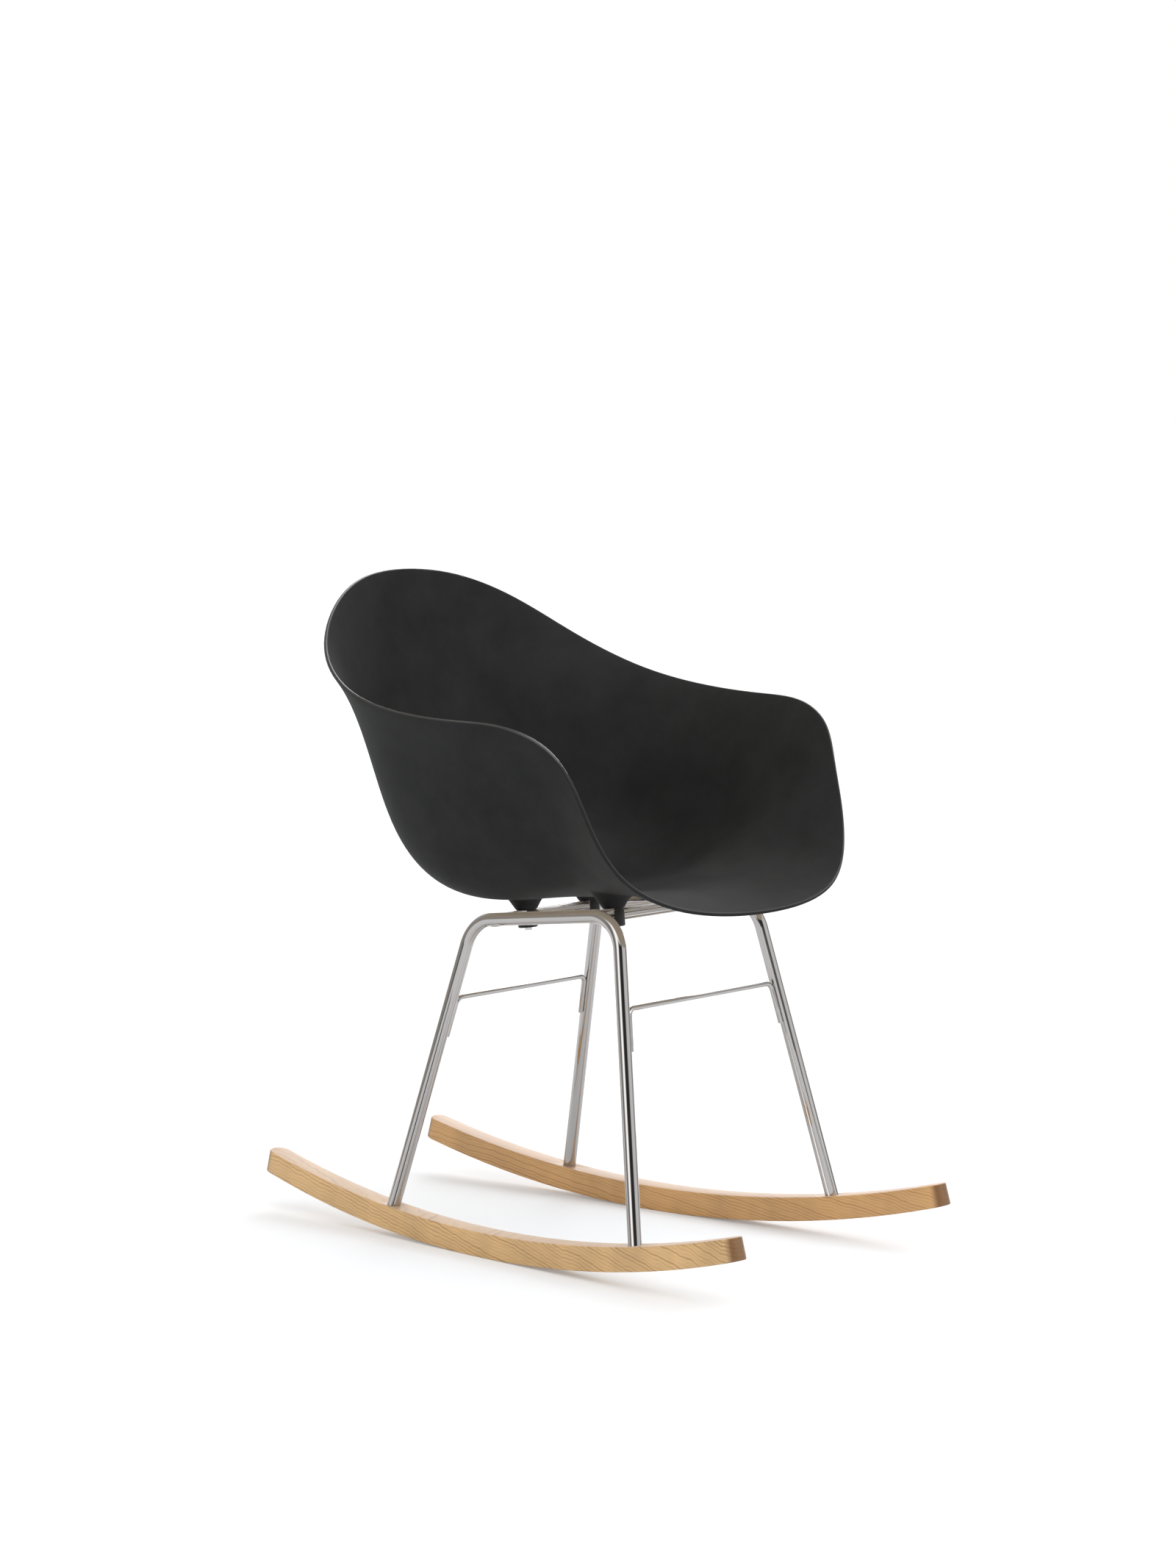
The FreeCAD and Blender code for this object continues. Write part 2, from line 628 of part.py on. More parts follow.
def wood_under_leg(side, end):
    """Length along the leg's axis from its foot down to the rocker's running edge."""
    foot, upward = leg_axis(side, end)
    local_foot = rocker_placement(side).inverse().multVec(foot)
    local_up = rocker_placement(side).Rotation.inverted().multVec(upward)
    centre = Vector(0, 0, size("rocker_radius"))
    offset = Vector(0, local_foot.y, local_foot.z) - centre
    down = Vector(0, -local_up.y, -local_up.z)
    square = down.dot(down)
    middle = offset.dot(down)
    rest = offset.dot(offset) - size("rocker_radius") ** 2
    return (-middle + math.sqrt(middle**2 - square * rest)) / square


def head_seat_depth(side, end):
    """From a leg's foot down its axis to the seat of the screw's head."""
    return wood_under_leg(side, end) - size("foot_head_recess")


def make_foot_screws():
    screws = []
    for name, side, end in legs():
        foot, upward = leg_axis(side, end)
        depth = head_seat_depth(side, end)
        seat = foot - upward * depth
        head = cylinder(f"foot_head_{name}", "Sizes.foot_head_diameter / 2", "Sizes.foot_head_height",
                        along(upward * -1, seat))
        inside_head = seat - upward * (size("foot_head_height") / 2)
        shank = cylinder(f"foot_shank_{name}", "Sizes.foot_screw_diameter / 2",
                         f"{depth} + Sizes.foot_screw_engagement + Sizes.foot_head_height / 2",
                         along(upward, inside_head))
        screws.append(fuse(f"foot_screw_{name}", head, shank))
    return compound("rocker_screw_group", screws)


# Rockers: solid wood, bent along an arc


def make_rocker(hand, side):
    body = new_body(f"rocker_{hand}")
    radius = size("rocker_radius")
    top_radius = size("rocker_top_radius")
    front_angle = math.asin(size("rocker_front_reach") / radius)
    rear_angle = math.asin(size("rocker_rear_reach") / radius)
    centre = Vector(0, radius, 0)
    top_centre = Vector(0, size("rocker_height") + top_radius, 0)

    def end_points(angle):
        """Lower and upper corner of the square end at an angle from the resting point."""
        direction = Vector(math.sin(angle), -math.cos(angle), 0)
        apart = centre - top_centre
        share = apart.dot(direction)
        reach = math.sqrt(share**2 - apart.dot(apart) + top_radius**2) - share
        return centre + direction * radius, centre + direction * reach

    front_low, front_high = end_points(-front_angle)
    rear_low, rear_high = end_points(rear_angle)
    top_from, top_to = (
        math.atan2(point.y - top_centre.y, point.x) for point in (front_high, rear_high)
    )
    outline = new_sketch(body, "Outline", "YZ_Plane")
    down = -math.pi / 2
    lower = outline.addGeometry(Part.ArcOfCircle(
        Part.Circle(centre, Vector(0, 0, 1), radius), down - front_angle, down + rear_angle), False)
    upper = outline.addGeometry(Part.ArcOfCircle(
        Part.Circle(top_centre, Vector(0, 0, 1), top_radius), top_from, top_to), False)
    front = outline.addGeometry(Part.LineSegment(front_low, front_high), False)
    rear = outline.addGeometry(Part.LineSegment(rear_low, rear_high), False)
    constrain(outline, "PointOnObject", upper, 3, -2)
    constrain(outline, "Coincident", lower, 1, front, 1)
    constrain(outline, "Coincident", upper, 1, front, 2)
    constrain(outline, "Coincident", lower, 2, rear, 1)
    constrain(outline, "Coincident", upper, 2, rear, 2)
    constrain(outline, "PointOnObject", lower, 3, -2)
    constrain(outline, "PointOnObject", lower, 3, front)
    constrain(outline, "PointOnObject", lower, 3, rear)
    constrain(outline, "Radius", lower, radius, tie="Sizes.rocker_radius")
    constrain(outline, "Radius", upper, top_radius, tie="Sizes.rocker_top_radius")
    constrain(outline, "DistanceY", -1, 1, upper, 3, top_centre.y,
              tie="Sizes.rocker_height + Sizes.rocker_top_radius")
    constrain(outline, "DistanceY", -1, 1, lower, 3, radius, tie="Sizes.rocker_radius")
    constrain(outline, "DistanceX", front, 1, -1, 1, size("rocker_front_reach"),
              tie="Sizes.rocker_front_reach")
    constrain(outline, "DistanceX", -1, 1, rear, 1, size("rocker_rear_reach"),
              tie="Sizes.rocker_rear_reach")
    board = body.newObject("PartDesign::Pad", "Board")
    board.Profile = outline
    board.Midplane = True
    bind(board, "Length", "Sizes.rocker_width")
    doc.recompute()

    upright = [
        f"Edge{number}"
        for number, edge in enumerate(board.Shape.Edges, start=1)
        if abs(edge.BoundBox.YMin) > min(size("rocker_front_reach"), size("rocker_rear_reach")) / 2
        and edge.BoundBox.XLength < 0.01
        and edge.Length < 2 * size("rocker_height")
    ]
    rounded = body.newObject("PartDesign::Fillet", "EndCorners")
    rounded.Base = (board, upright)
    bind(rounded, "Radius", "Sizes.rocker_end_round")
    doc.recompute()

    long_edges = [
        f"Edge{number}"
        for number, edge in enumerate(rounded.Shape.Edges, start=1)
        if edge.Length > size("rocker_front_reach")
    ]
    eased = body.newObject("PartDesign::Chamfer", "EasedEdges")
    eased.Base = (rounded, long_edges)
    bind(eased, "Size", "Sizes.rocker_edge_ease")
    doc.recompute()

    to_rocker = rocker_placement(side).inverse()
    for end in ("front", "rear"):
        foot, upward = leg_axis(side, end)
        foot = to_rocker.multVec(foot)
        upward = to_rocker.Rotation.multVec(upward)
        depth = head_seat_depth(side, end)
        bores = (
            ("Socket", "Sizes.tube_diameter / 2 + Sizes.leg_socket_fit", "Sizes.rocker_height", foot, upward),
            ("ScrewHole", "(Sizes.foot_screw_diameter + Sizes.foot_screw_play) / 2", "Sizes.rocker_height",
             foot - upward * (depth + size("foot_head_recess") / 2), upward),
            ("Recess", "(Sizes.foot_head_diameter + Sizes.foot_head_play) / 2", "Sizes.rocker_height",
             foot - upward * depth, upward * -1),
        )
        for name, bore_radius, length, start, direction in bores:
            bore = body.newObject("PartDesign::SubtractiveCylinder", f"{name}_{end}")
            bind(bore, "Radius", bore_radius)
            bind(bore, "Height", length)
            bore.Placement = along(direction, start)
            doc.recompute()
    body.Placement = rocker_placement(side)
    return body


# The bowl: one moulded wall, from the floor over the belly to the rim

LEVEL_SHARE = 0.35  # share of the floor, outside its flat disc, that keeps the disc's level
HANG_SHARE = 0.72  # height, as a share of the wall above the belly, at which the wall leans in
OFFSET_STEPS = 11  # steps from floor to rim in which a side parallel to the upper one is laid
NEAR_END = 0.02  # share of a spoke that shows the surface's direction at its end
QUARTERS = 4  # faces round the bowl


def belly_at(direction):
    """The belly's five sizes in any direction, eased between the five given ones."""
    half = [(entry[1], [size(f"belly_{entry[0]}_{word}") for word in BELLY_WORDS]) for entry in BELLY]
    mirrored = [(-turn, values) for turn, values in half[:0:-1]]
    beyond = [(360 - turn, values) for turn, values in half[-2::-1]]
    known = mirrored + half + beyond
    turns = [turn for turn, _ in known]
    sizes = []
    for first, last in ((0, 3), (2, 5)):
        curve = Part.BSplineCurve()
        curve.interpolate(Points=[Vector(*values[first:last]) for _, values in known], Parameters=turns)
        sizes += list(curve.value(abs(direction)))[len(sizes) - first:]
    return sizes


def rim_stations():
    """Rim points all the way round, starting at the lip's middle, left side first."""
    floor = Vector(0, 0, size("floor_height"))
    half = [
        floor + Vector(size(f"rim_{name}_out"), size(f"rim_{name}_back"), size(f"rim_{name}_rise"))
        for name, *_ in RIM
    ]
    return half + [Vector(-point.x, point.y, point.z) for point in half[-2:0:-1]]


def spoke_poles(rim):
    """Poles of the bowl's upper side from the middle of the floor out to one rim point."""
    reach = math.hypot(rim.x, rim.y)
    heading = Vector(rim.x, rim.y, 0) / reach
    turn_reach, turn_rise, floor_ease, wall_ease, hang = belly_at(math.degrees(math.atan2(rim.x, -rim.y)))
    middle = Vector(size("floor_disc_radius"), 0, size("floor_height"))
    level = middle + Vector(LEVEL_SHARE * (turn_reach - floor_ease - middle.x), 0, 0)
    turn = Vector(turn_reach, 0, size("floor_height") + turn_rise)
    top = Vector(reach, 0, rim.z)
    into_turn = (turn - level).normalize()
    up_wall = top - turn
    wall_length = up_wall.Length
    up_wall.normalize()
    before = turn - into_turn * floor_ease
    after = turn + up_wall * wall_ease
    upper = turn + up_wall * (wall_ease + HANG_SHARE * (wall_length - wall_ease)) - Vector(hang, 0, 0)
    outward = Vector(up_wall.z, 0, -up_wall.x)
    edge = top - outward * (size("bowl_wall") / 2)
    return [heading * pole.x + Vector(0, 0, pole.z) for pole in (middle, level, before, after, upper, edge)]


def around_parameters(stations):
    """Distance along the rim at each station, closing at the first."""
    steps = [0]
    for here, there in zip(stations, stations[1:] + stations[:1]):
        steps.append(steps[-1] + (there - here).Length)
    return steps


def closed_curve(points, parameters):
    """Smooth closed curve that crosses the middle plane squarely at its first point."""
    near, far = parameters[1], parameters[2]
    slopes = points[1].x / near * far**2 - points[2].x / far * near**2
    tangents = [Vector(slopes / (far**2 - near**2), 0, 0)] + [Vector(1, 0, 0)] * (len(points) - 1)
    given = [True] + [False] * (len(points) - 1)
    curve = Part.BSplineCurve()
    curve.interpolate(Points=points, PeriodicFlag=True, Parameters=parameters, Tangents=tangents,
                      TangentFlags=given, Scale=False)
    return curve


def skin(columns, knots, multiplicities, parameters, degree=3):
    """Surface round the bowl; each column holds one station's poles from floor to rim."""
    rows = [closed_curve(list(row), parameters) for row in zip(*columns)]
    poles = [list(column) for column in zip(*(row.getPoles() for row in rows))]
    surface = Part.BSplineSurface()
    surface.buildFromPolesMultsKnots(
        poles, rows[0].getMultiplicities(), multiplicities, rows[0].getKnots(), knots,
        True, False, 3, degree)
    return surface


def offset_skin(surface, distance, parameters):
    """Surface at a constant distance below the upper side."""
    levels = [step / OFFSET_STEPS for step in range(OFFSET_STEPS + 1)]
    columns = []
    for station in parameters[:-1]:
        points = []
        for level in levels:
            normal = surface.normal(station, level)
            if surface.normal(station, NEAR_END).z > 0:
                normal = normal * -1
            points.append(surface.value(station, level) + normal * distance)
        curve = Part.BSplineCurve()
        curve.interpolate(Points=points, Parameters=levels)
        columns.append(curve.getPoles())
    return skin(columns, curve.getKnots(), curve.getMultiplicities(), parameters)


def bowl_wall_solid():
    """The bowl without its bosses, and a face in the middle of its wall."""
    wall = size("bowl_wall")
    stations = rim_stations()
    parameters = around_parameters(stations)
    third = 1 / 3
    upper = skin([spoke_poles(rim) for rim in stations], [0, third, 2 * third, 1], [4, 1, 1, 4], parameters)
    under = offset_skin(upper, wall, parameters)
    middle = offset_skin(upper, wall / 2, parameters)

    chamfer = size("rim_chamfer")
    edges = []
    for station in parameters[:-1]:
        inside = upper.value(station, 1)
        outside = under.value(station, 1)
        raised = (inside - upper.value(station, 1 - NEAR_END)).normalize() * chamfer
        inset = (outside - inside).normalize() * chamfer
        edges.append([inside, inside + inset + raised, outside - inset + raised, outside])
    band = [
        skin([edge[first:first + 2] for edge in edges], [0, 1], [2, 2], parameters, degree=1)
        for first in range(3)
    ]

    length = parameters[-1]
    quarters = [(turn * length / QUARTERS, (turn + 1) * length / QUARTERS) for turn in range(QUARTERS)]

    def disc(surface):
        return Part.Face(Part.Wire([surface.vIso(0).toShape(*quarter) for quarter in quarters]))

    faces = [surface.toShape(*quarter, 0, 1) for surface in (upper, under, *band) for quarter in quarters]
    faces += [disc(upper), disc(under)]
    sewn = Part.makeShell(faces)
    sewn.sewShape()
    bowl = Part.makeSolid(sewn)
    if bowl.Volume < 0:
        bowl.reverse()
    floor = middle.toShape(0, length, 0, 0.5)
    return bowl, floor


def make_bowl():
    """The bowl with its four bosses, flared into its underside and bored for the inserts."""
    bowl, floor = bowl_wall_solid()
    foot = size("tube_diameter") / 2 + size("seat_gap")
    boss_radius = size("boss_diameter") / 2
    upward = SEAT_TURN.multVec(Vector(0, 0, 1))
    starts = [placement.multVec(Vector(0, 0, foot)) for _, placement in junctions()]
    deepest = min(size("floor_height") - min(start.z for start in starts), size("boss_cone_length"))
    cone_height = deepest + size("insert_length") + 2 * size("bowl_wall")
    top_radius = boss_radius + cone_height * math.tan(math.radians(size("boss_draft")))
    room_above = floor.extrude(Vector(0, 0, 2 * cone_height))
    bosses = []
    for start in starts:
        straight = max(size("floor_height") - start.z - size("boss_cone_length"), 0)
        cone_start = start + upward * straight
        blank = Part.makeCone(boss_radius, top_radius, cone_height, cone_start, upward)
        if straight > 0:
            blank = blank.fuse(Part.makeCylinder(boss_radius, straight, start, upward))
        bosses.append(min(blank.cut(room_above).Solids, key=lambda piece: piece.CenterOfMass.z))
    bowl = bowl.fuse(bosses)

    def is_root(edge):
        """True for the lines along which a boss meets the bowl's underside."""
        beside = min((edge.CenterOfMass - start).cross(upward).Length for start in starts)
        lifted = min(abs((edge.valueAt(edge.FirstParameter) - start).dot(upward)) for start in starts)
        drawn = isinstance(edge.Curve, (Part.Line, Part.Circle))
        return beside < 2 * boss_radius and lifted > size("seat_gap") and not drawn

    roots = [edge for edge in bowl.Edges if is_root(edge)]
    bowl = bowl.makeFillet(size("boss_flare"), roots)
    bore_radius = size("insert_diameter") / 2
    bores = [Part.makeCylinder(bore_radius, size("insert_length"), start, upward) for start in starts]
    bowl = bowl.cut(bores)
    thing = doc.addObject("Part::Feature", "seat_shell")
    thing.Shape = bowl.Solids[0]
    thing.Label = "seat_shell"
    return thing


# Whole chair

parts = []
for hand, side in SIDES:
    parts.append(make_side_frame(hand, side))
    parts.append(make_rocker(hand, side))
parts.append(make_stretcher("front", "front_rod_height"))
parts.append(make_stretcher("rear", "rear_rod_height"))
parts.append(make_cross_tube("front", FRONT_TUBE, "front_boss_pitch"))
parts.append(make_cross_tube("rear", REAR_TUBE, "rear_boss_pitch"))
for name, placement in junctions():
    parts.append(make_saddle(name, placement))
parts.append(make_seat_bolts())
parts.append(make_boss_inserts())
for name, side, end in legs():
    parts.append(make_leg_plug(name, side, end))
parts.append(make_foot_screws())
parts.append(make_bowl())
doc.recompute()

for thing in doc.Objects:
    if "Invalid" in thing.State or "Error" in thing.State:
        raise RuntimeError(f"{thing.Label} did not compute")

os.makedirs("parts", exist_ok=True)
for part in parts:
    shape = part.Shape
    if shape.isNull() or not shape.isValid() or not shape.Solids:
        raise RuntimeError(f"{part.Label} has no valid solid")
    shape.exportStep(f"parts/{part.Label}.step")
    print(part.Label, len(shape.Solids), "solid(s)", round(shape.Volume / 1000, 2), "cm3")
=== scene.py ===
# %% [markdown]
# # A moulded rocking armchair
#
# The chair has three families of pieces: a black moulded bowl that is seat, back and arms in
# one, a chromed tube frame that carries it, and two rockers of solid ash. The measured solids
# come in as they are and stay where they are. This lesson gives them the finish of the real
# thing: a clean copy of each piece that shows, rounded where tools and moulds leave a radius,
# and a material that behaves like the real one under studio light.

# %% Bring in the measured chair
import math

import bpy
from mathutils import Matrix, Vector
from mathutils.kdtree import KDTree


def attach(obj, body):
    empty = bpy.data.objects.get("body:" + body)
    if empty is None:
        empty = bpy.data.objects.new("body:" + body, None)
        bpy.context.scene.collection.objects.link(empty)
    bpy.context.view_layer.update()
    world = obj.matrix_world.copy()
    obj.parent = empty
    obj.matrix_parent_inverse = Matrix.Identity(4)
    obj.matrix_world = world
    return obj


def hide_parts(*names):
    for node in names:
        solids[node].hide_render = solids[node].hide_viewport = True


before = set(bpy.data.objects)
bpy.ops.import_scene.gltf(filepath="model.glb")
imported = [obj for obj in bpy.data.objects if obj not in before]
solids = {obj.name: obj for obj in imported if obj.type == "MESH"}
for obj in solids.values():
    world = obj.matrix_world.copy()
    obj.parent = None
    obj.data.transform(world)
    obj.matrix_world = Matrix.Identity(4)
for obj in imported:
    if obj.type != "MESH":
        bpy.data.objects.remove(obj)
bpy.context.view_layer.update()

# %% [markdown]
# ## A clean copy of a solid
#
# A measured solid arrives as loose triangles, so its curved sides look faceted and a bevel has
# no edges to work on. One could smooth the solid itself, but it has to stay untouched. So each
# piece that shows is copied, the copy's doubled points are merged, and its faces are shaded
# smooth up to a chosen angle. Then a bevel rounds what is still sharp. All sizes are in metres,
# all angles in degrees.

# %% Copying and smoothing
MERGE_WITHIN = 0.000005


def choose(thing):
    """Only this object is selected and active, so that the next operator acts on it alone."""
    bpy.ops.object.select_all(action="DESELECT")
    thing.select_set(True)
    bpy.context.view_layer.objects.active = thing


def clean_copy(solid_name, smooth_up_to):
    """A merged, smoothly shaded copy of a measured solid, at the same place."""
    copy = solids[solid_name].copy()
    copy.data = solids[solid_name].data.copy()
    copy.name = solid_name + "_finished"
    for key in list(copy.keys()):
        del copy[key]
    copy.parent = None
    bpy.context.scene.collection.objects.link(copy)
    choose(copy)
    bpy.ops.object.mode_set(mode="EDIT")
    bpy.ops.mesh.select_all(action="SELECT")
    bpy.ops.mesh.remove_doubles(threshold=MERGE_WITHIN)
    bpy.ops.object.mode_set(mode="OBJECT")
    bpy.ops.object.shade_smooth_by_angle(angle=math.radians(smooth_up_to))
    return copy


def round_edges(piece, radius, steps, **limits):
    """Rounds the edges that the limits choose, as a mould or a file leaves them."""
    choose(piece)
    bevel = piece.modifiers.new("rounded edges", "BEVEL")
    bevel.width = radius
    bevel.segments = steps
    for name, value in limits.items():
        setattr(bevel, name, value)
    bpy.ops.object.modifier_apply(modifier=bevel.name)


def soften(piece, radius, sharper_than, steps=2):
    """Rounds the edges that are sharper than an angle."""
    round_edges(piece, radius, steps, limit_method="ANGLE", angle_limit=math.radians(sharper_than))


# %% [markdown]
# ## Fitting a piece to the chair
#
# Nothing turns or slides inside this chair, so every piece rides on the same body. A finished
# copy also takes the place of its solid, which is then no longer shown, and gets its material.


# %% Fitting a finished piece
def fit_to_chair(piece, material, slot, *solid_names):
    """The piece rides on the chair, stands for its solids and takes its material."""
    piece.data.materials.clear()
    piece.data.materials.append(material)
    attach(piece, "root")
    if solid_names:
        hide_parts(*solid_names)
    print(piece.name, len(piece.data.polygons), "faces")


# %% [markdown]
# ## Helpers for materials
#
# Every material here is built from nodes, so that it stays sharp from any distance and needs
# no picture. A few short helpers keep that readable: one places a node with its values, one
# wires nodes together, and three place the kinds that come up again and again.


# %% Placing and wiring nodes
def place(tree, kind, values=None, **settings):
    """A new node of this kind, with its input values and its settings."""
    node = tree.nodes.new(kind)
    for name, value in settings.items():
        setattr(node, name, value)
    for socket, value in (values or {}).items():
        node.inputs[socket].default_value = value
    return node


def wire(tree, *steps):
    """Joins outputs to inputs, given as (node, output, node, input)."""
    for source, output, target, entry in steps:
        tree.links.new(source.outputs[output], target.inputs[entry])


def calculate(tree, operation, first=0.0, second=0.0, **settings):
    """A sum on numbers. One given here counts where no wire comes in."""
    return place(tree, "ShaderNodeMath", {0: first, 1: second}, operation=operation, **settings)


def spread(tree, start, end, low=0.0, high=1.0, **settings):
    """Turns the numbers from start to end into numbers from low to high."""
    values = {"From Min": start, "From Max": end, "To Min": low, "To Max": high}
    return place(tree, "ShaderNodeMapRange", values, **settings)


def blend(tree, **colours):
    """A mix of the colours A and B. Those that stay the same are given here."""
    values = {name: (*colour, 1.0) for name, colour in colours.items()}
    return place(tree, "ShaderNodeMix", values, data_type="RGBA")


# %% [markdown]
# ## Helpers for groups and surfaces
#
# An effect that several materials share is a group: a small tree of its own, with named inputs
# and outputs. It is built once and placed in each material with that material's values. What
# doesn't vary over a surface is set on the surface shader itself, where it is easy to find.


# %% Groups and surfaces
def new_group(name, inputs, outputs):
    """An empty shader group with number inputs and the given outputs."""
    group = bpy.data.node_groups.new(name, "ShaderNodeTree")
    for label, value in inputs.items():
        socket = group.interface.new_socket(label, in_out="INPUT", socket_type="NodeSocketFloat")
        socket.default_value = value
    for label, kind in outputs.items():
        group.interface.new_socket(label, in_out="OUTPUT", socket_type=kind)
    return group, group.nodes.new("NodeGroupInput"), group.nodes.new("NodeGroupOutput")


def use_group(tree, group, **values):
    """Places a shared group in a material, with this material's own values."""
    node = place(tree, "ShaderNodeGroup", node_tree=group)
    for label, value in values.items():
        node.inputs[label.replace("_", " ")].default_value = value
    return node


def new_material(name, **sockets):
    """A material with one surface shader, whose constant values sit on its own sockets."""
    material = bpy.data.materials.new(name)
    material.use_nodes = True
    shader = material.node_tree.nodes["Principled BSDF"]
    for label, value in sockets.items():
        shader.inputs[label.replace("_", " ")].default_value = value
    return material, material.node_tree, shader


def centred(tree, noise, given, strength):
    """A noise that swings both ways from nothing, as strongly as a group's input says."""
    swing = calculate(tree, "SUBTRACT", second=0.5)
    sized = calculate(tree, "MULTIPLY")
    wire(tree, (noise, 0, swing, 0), (swing, 0, sized, 0), (given, strength, sized, 1))
    return sized


# %% [markdown]
# ## Traces of handling
#
# Nothing that people touch has the same gloss all over: hands and cloths leave wide, soft
# clouds, and fine rubbing leaves short scratches. One could paint such marks, but a shared
# group of two noises gives them to every piece, each with its own strength. The group puts out
# a roughness and a height, and each material takes what it needs of them.

# %% The handling group
handling, given, result = new_group(
    "traces of handling",
    {
        "Roughness": 0.3, "Cloud size": 9.0, "Cloud strength": 0.08,
        "Rub size": 260.0, "Rub strength": 0.04,
    },
    {"Roughness": "NodeSocketFloat", "Height": "NodeSocketFloat"},
)
where = place(handling, "ShaderNodeTexCoord")
clouds = place(handling, "ShaderNodeTexNoise", {"Detail": 4.0, "Roughness": 0.6})
rubbing = place(
    handling, "ShaderNodeTexNoise", {"Detail": 6.0, "Roughness": 0.7, "Distortion": 1.5})
cloudy = centred(handling, clouds, given, "Cloud strength")
rubbed = centred(handling, rubbing, given, "Rub strength")
both = calculate(handling, "ADD")
total = calculate(handling, "ADD", use_clamp=True)
wire(
    handling,
    (where, "Object", clouds, "Vector"),
    (where, "Object", rubbing, "Vector"),
    (given, "Cloud size", clouds, "Scale"),
    (given, "Rub size", rubbing, "Scale"),
    (cloudy, 0, both, 0),
    (rubbed, 0, both, 1),
    (both, 0, total, 0),
    (given, "Roughness", total, 1),
    (total, 0, result, "Roughness"),
    (rubbing, 0, result, "Height"),
)
print("handling group has", len(handling.nodes), "nodes")

# %% [markdown]
# ## The grain of a mould
#
# A mould for such a bowl is spark eroded, which leaves a fine, even grain on the plastic. It is
# far too small to model. A fine pattern of soft cells makes a height for a bump instead, and a
# wide noise varies the colour by a hair, so that the black doesn't look painted on.

# %% The mould grain group
mould_grain, given, result = new_group(
    "grain of the mould",
    {"Grain size": 1900.0, "Shade": 0.03, "Depth of colour": 0.3},
    {"Color": "NodeSocketColor", "Height": "NodeSocketFloat"},
)
where = place(mould_grain, "ShaderNodeTexCoord")
pits = place(mould_grain, "ShaderNodeTexVoronoi", feature="SMOOTH_F1")
dust = place(
    mould_grain, "ShaderNodeTexNoise", {"Scale": 14.0, "Detail": 5.0, "Roughness": 0.65})
evened = spread(mould_grain, start=0.3, end=0.7)
darkest = calculate(mould_grain, "SUBTRACT", first=1.0)
vary = spread(mould_grain, start=0.0, end=1.0, high=1.15)
tone = calculate(mould_grain, "MULTIPLY")
black = place(mould_grain, "ShaderNodeCombineColor")
wire(
    mould_grain,
    (where, "Object", pits, "Vector"),
    (where, "Object", dust, "Vector"),
    (given, "Grain size", pits, "Scale"),
    (dust, 0, evened, 0),
    (given, "Depth of colour", darkest, 1),
    (evened, 0, vary, 0),
    (darkest, 0, vary, "To Min"),
    (vary, 0, tone, 0),
    (given, "Shade", tone, 1),
    (tone, 0, black, "Red"),
    (tone, 0, black, "Green"),
    (tone, 0, black, "Blue"),
    (black, 0, result, "Color"),
    (pits, 0, result, "Height"),
)
print("mould grain group has", len(mould_grain.nodes), "nodes")

# %% [markdown]
# ## Black moulded plastic
#
# The bowl is dyed through with carbon black and looks satin: nearly no colour of its own, and
# a wide, soft sheen. A low specular level and a fairly high roughness give that. Its outer edge
# lies where the two halves of the mould meet; there the steel isn't eroded, so a thin clear coat
# makes the edge shine where it faces up. The points of that edge carry a mark, which the bowl
# gets further on. The saddles are of a tougher plastic with a coarser grain, so the same groups
# get other values. One liberty is taken: where the plastic faces down, reflected rays see it as
# beige. One liberty is taken for the picture's sake: seen in a mirror, plastic that faces down
# looks beige, as the chrome in the photograph shows it. This is a painted reflection of a warm,
# lit room, which the chrome under the bowl shows.

# %% Two black plastics
EDGE_MARK = "smooth_edge"
# Painted reflection: the colour that downward-facing plastic shows to reflected rays, in place of
# a warm, lit room.
PAINTED_REFLECTION_BEIGE = (0.60, 0.52, 0.40)


def black_plastic(name, shade, roughness, grain_size, grain_height, gloss):
    """Satin black plastic with a moulded grain, smoother where its mould halves meet."""
    material, tree, shader = new_material(name, Specular_IOR_Level=gloss, Coat_Roughness=0.25)
    grain = use_group(tree, mould_grain, Grain_size=grain_size, Shade=shade)
    touch = use_group(
        tree, handling, Roughness=roughness, Cloud_size=5.0, Cloud_strength=0.06,
        Rub_strength=0.05)
    bump = place(tree, "ShaderNodeBump", {"Strength": 0.35, "Distance": grain_height})
    edge = place(tree, "ShaderNodeAttribute", attribute_name=EDGE_MARK)
    edge_mask = spread(tree, start=0.9, end=1.0)
    upward = spread(tree, start=-0.1, end=0.4)
    edge_gloss = calculate(tree, "MULTIPLY")
    rays = place(tree, "ShaderNodeLightPath")
    surface = place(tree, "ShaderNodeNewGeometry")
    facing = place(tree, "ShaderNodeSeparateXYZ")
    # Painted reflection: plastic that faces down turns beige, for glossy rays only.
    downward = spread(tree, start=-0.3, end=-0.7)
    painted_reflection_mask = calculate(tree, "MULTIPLY")
    colour = blend(tree, B=PAINTED_REFLECTION_BEIGE)
    wire(
        tree,
        (surface, "Normal", facing, 0),
        (facing, "Z", downward, 0),
        (downward, 0, painted_reflection_mask, 0),
        (rays, "Is Glossy Ray", painted_reflection_mask, 1),
        (painted_reflection_mask, 0, colour, "Factor"),
        (grain, "Color", colour, "A"),
        (colour, 2, shader, "Base Color"),
        (touch, "Roughness", shader, "Roughness"),
        (grain, "Height", bump, "Height"),
        (bump, "Normal", shader, "Normal"),
        (edge, "Fac", edge_mask, 0),
        (edge_mask, 0, edge_gloss, 0),
        (facing, "Z", upward, 0),
        (upward, 0, edge_gloss, 1),
        (edge_gloss, 0, shader, "Coat Weight"),
    )
    return material


bowl_black = black_plastic(
    "satin black bowl", shade=0.0195, roughness=0.66, grain_size=1500.0, grain_height=0.00004,
    gloss=0.12)
saddle_black = black_plastic(
    "black saddle plastic", shade=0.010, roughness=0.5, grain_size=900.0, grain_height=0.00006,
    gloss=0.35)
print("plastics:", bowl_black.name, "and", saddle_black.name)

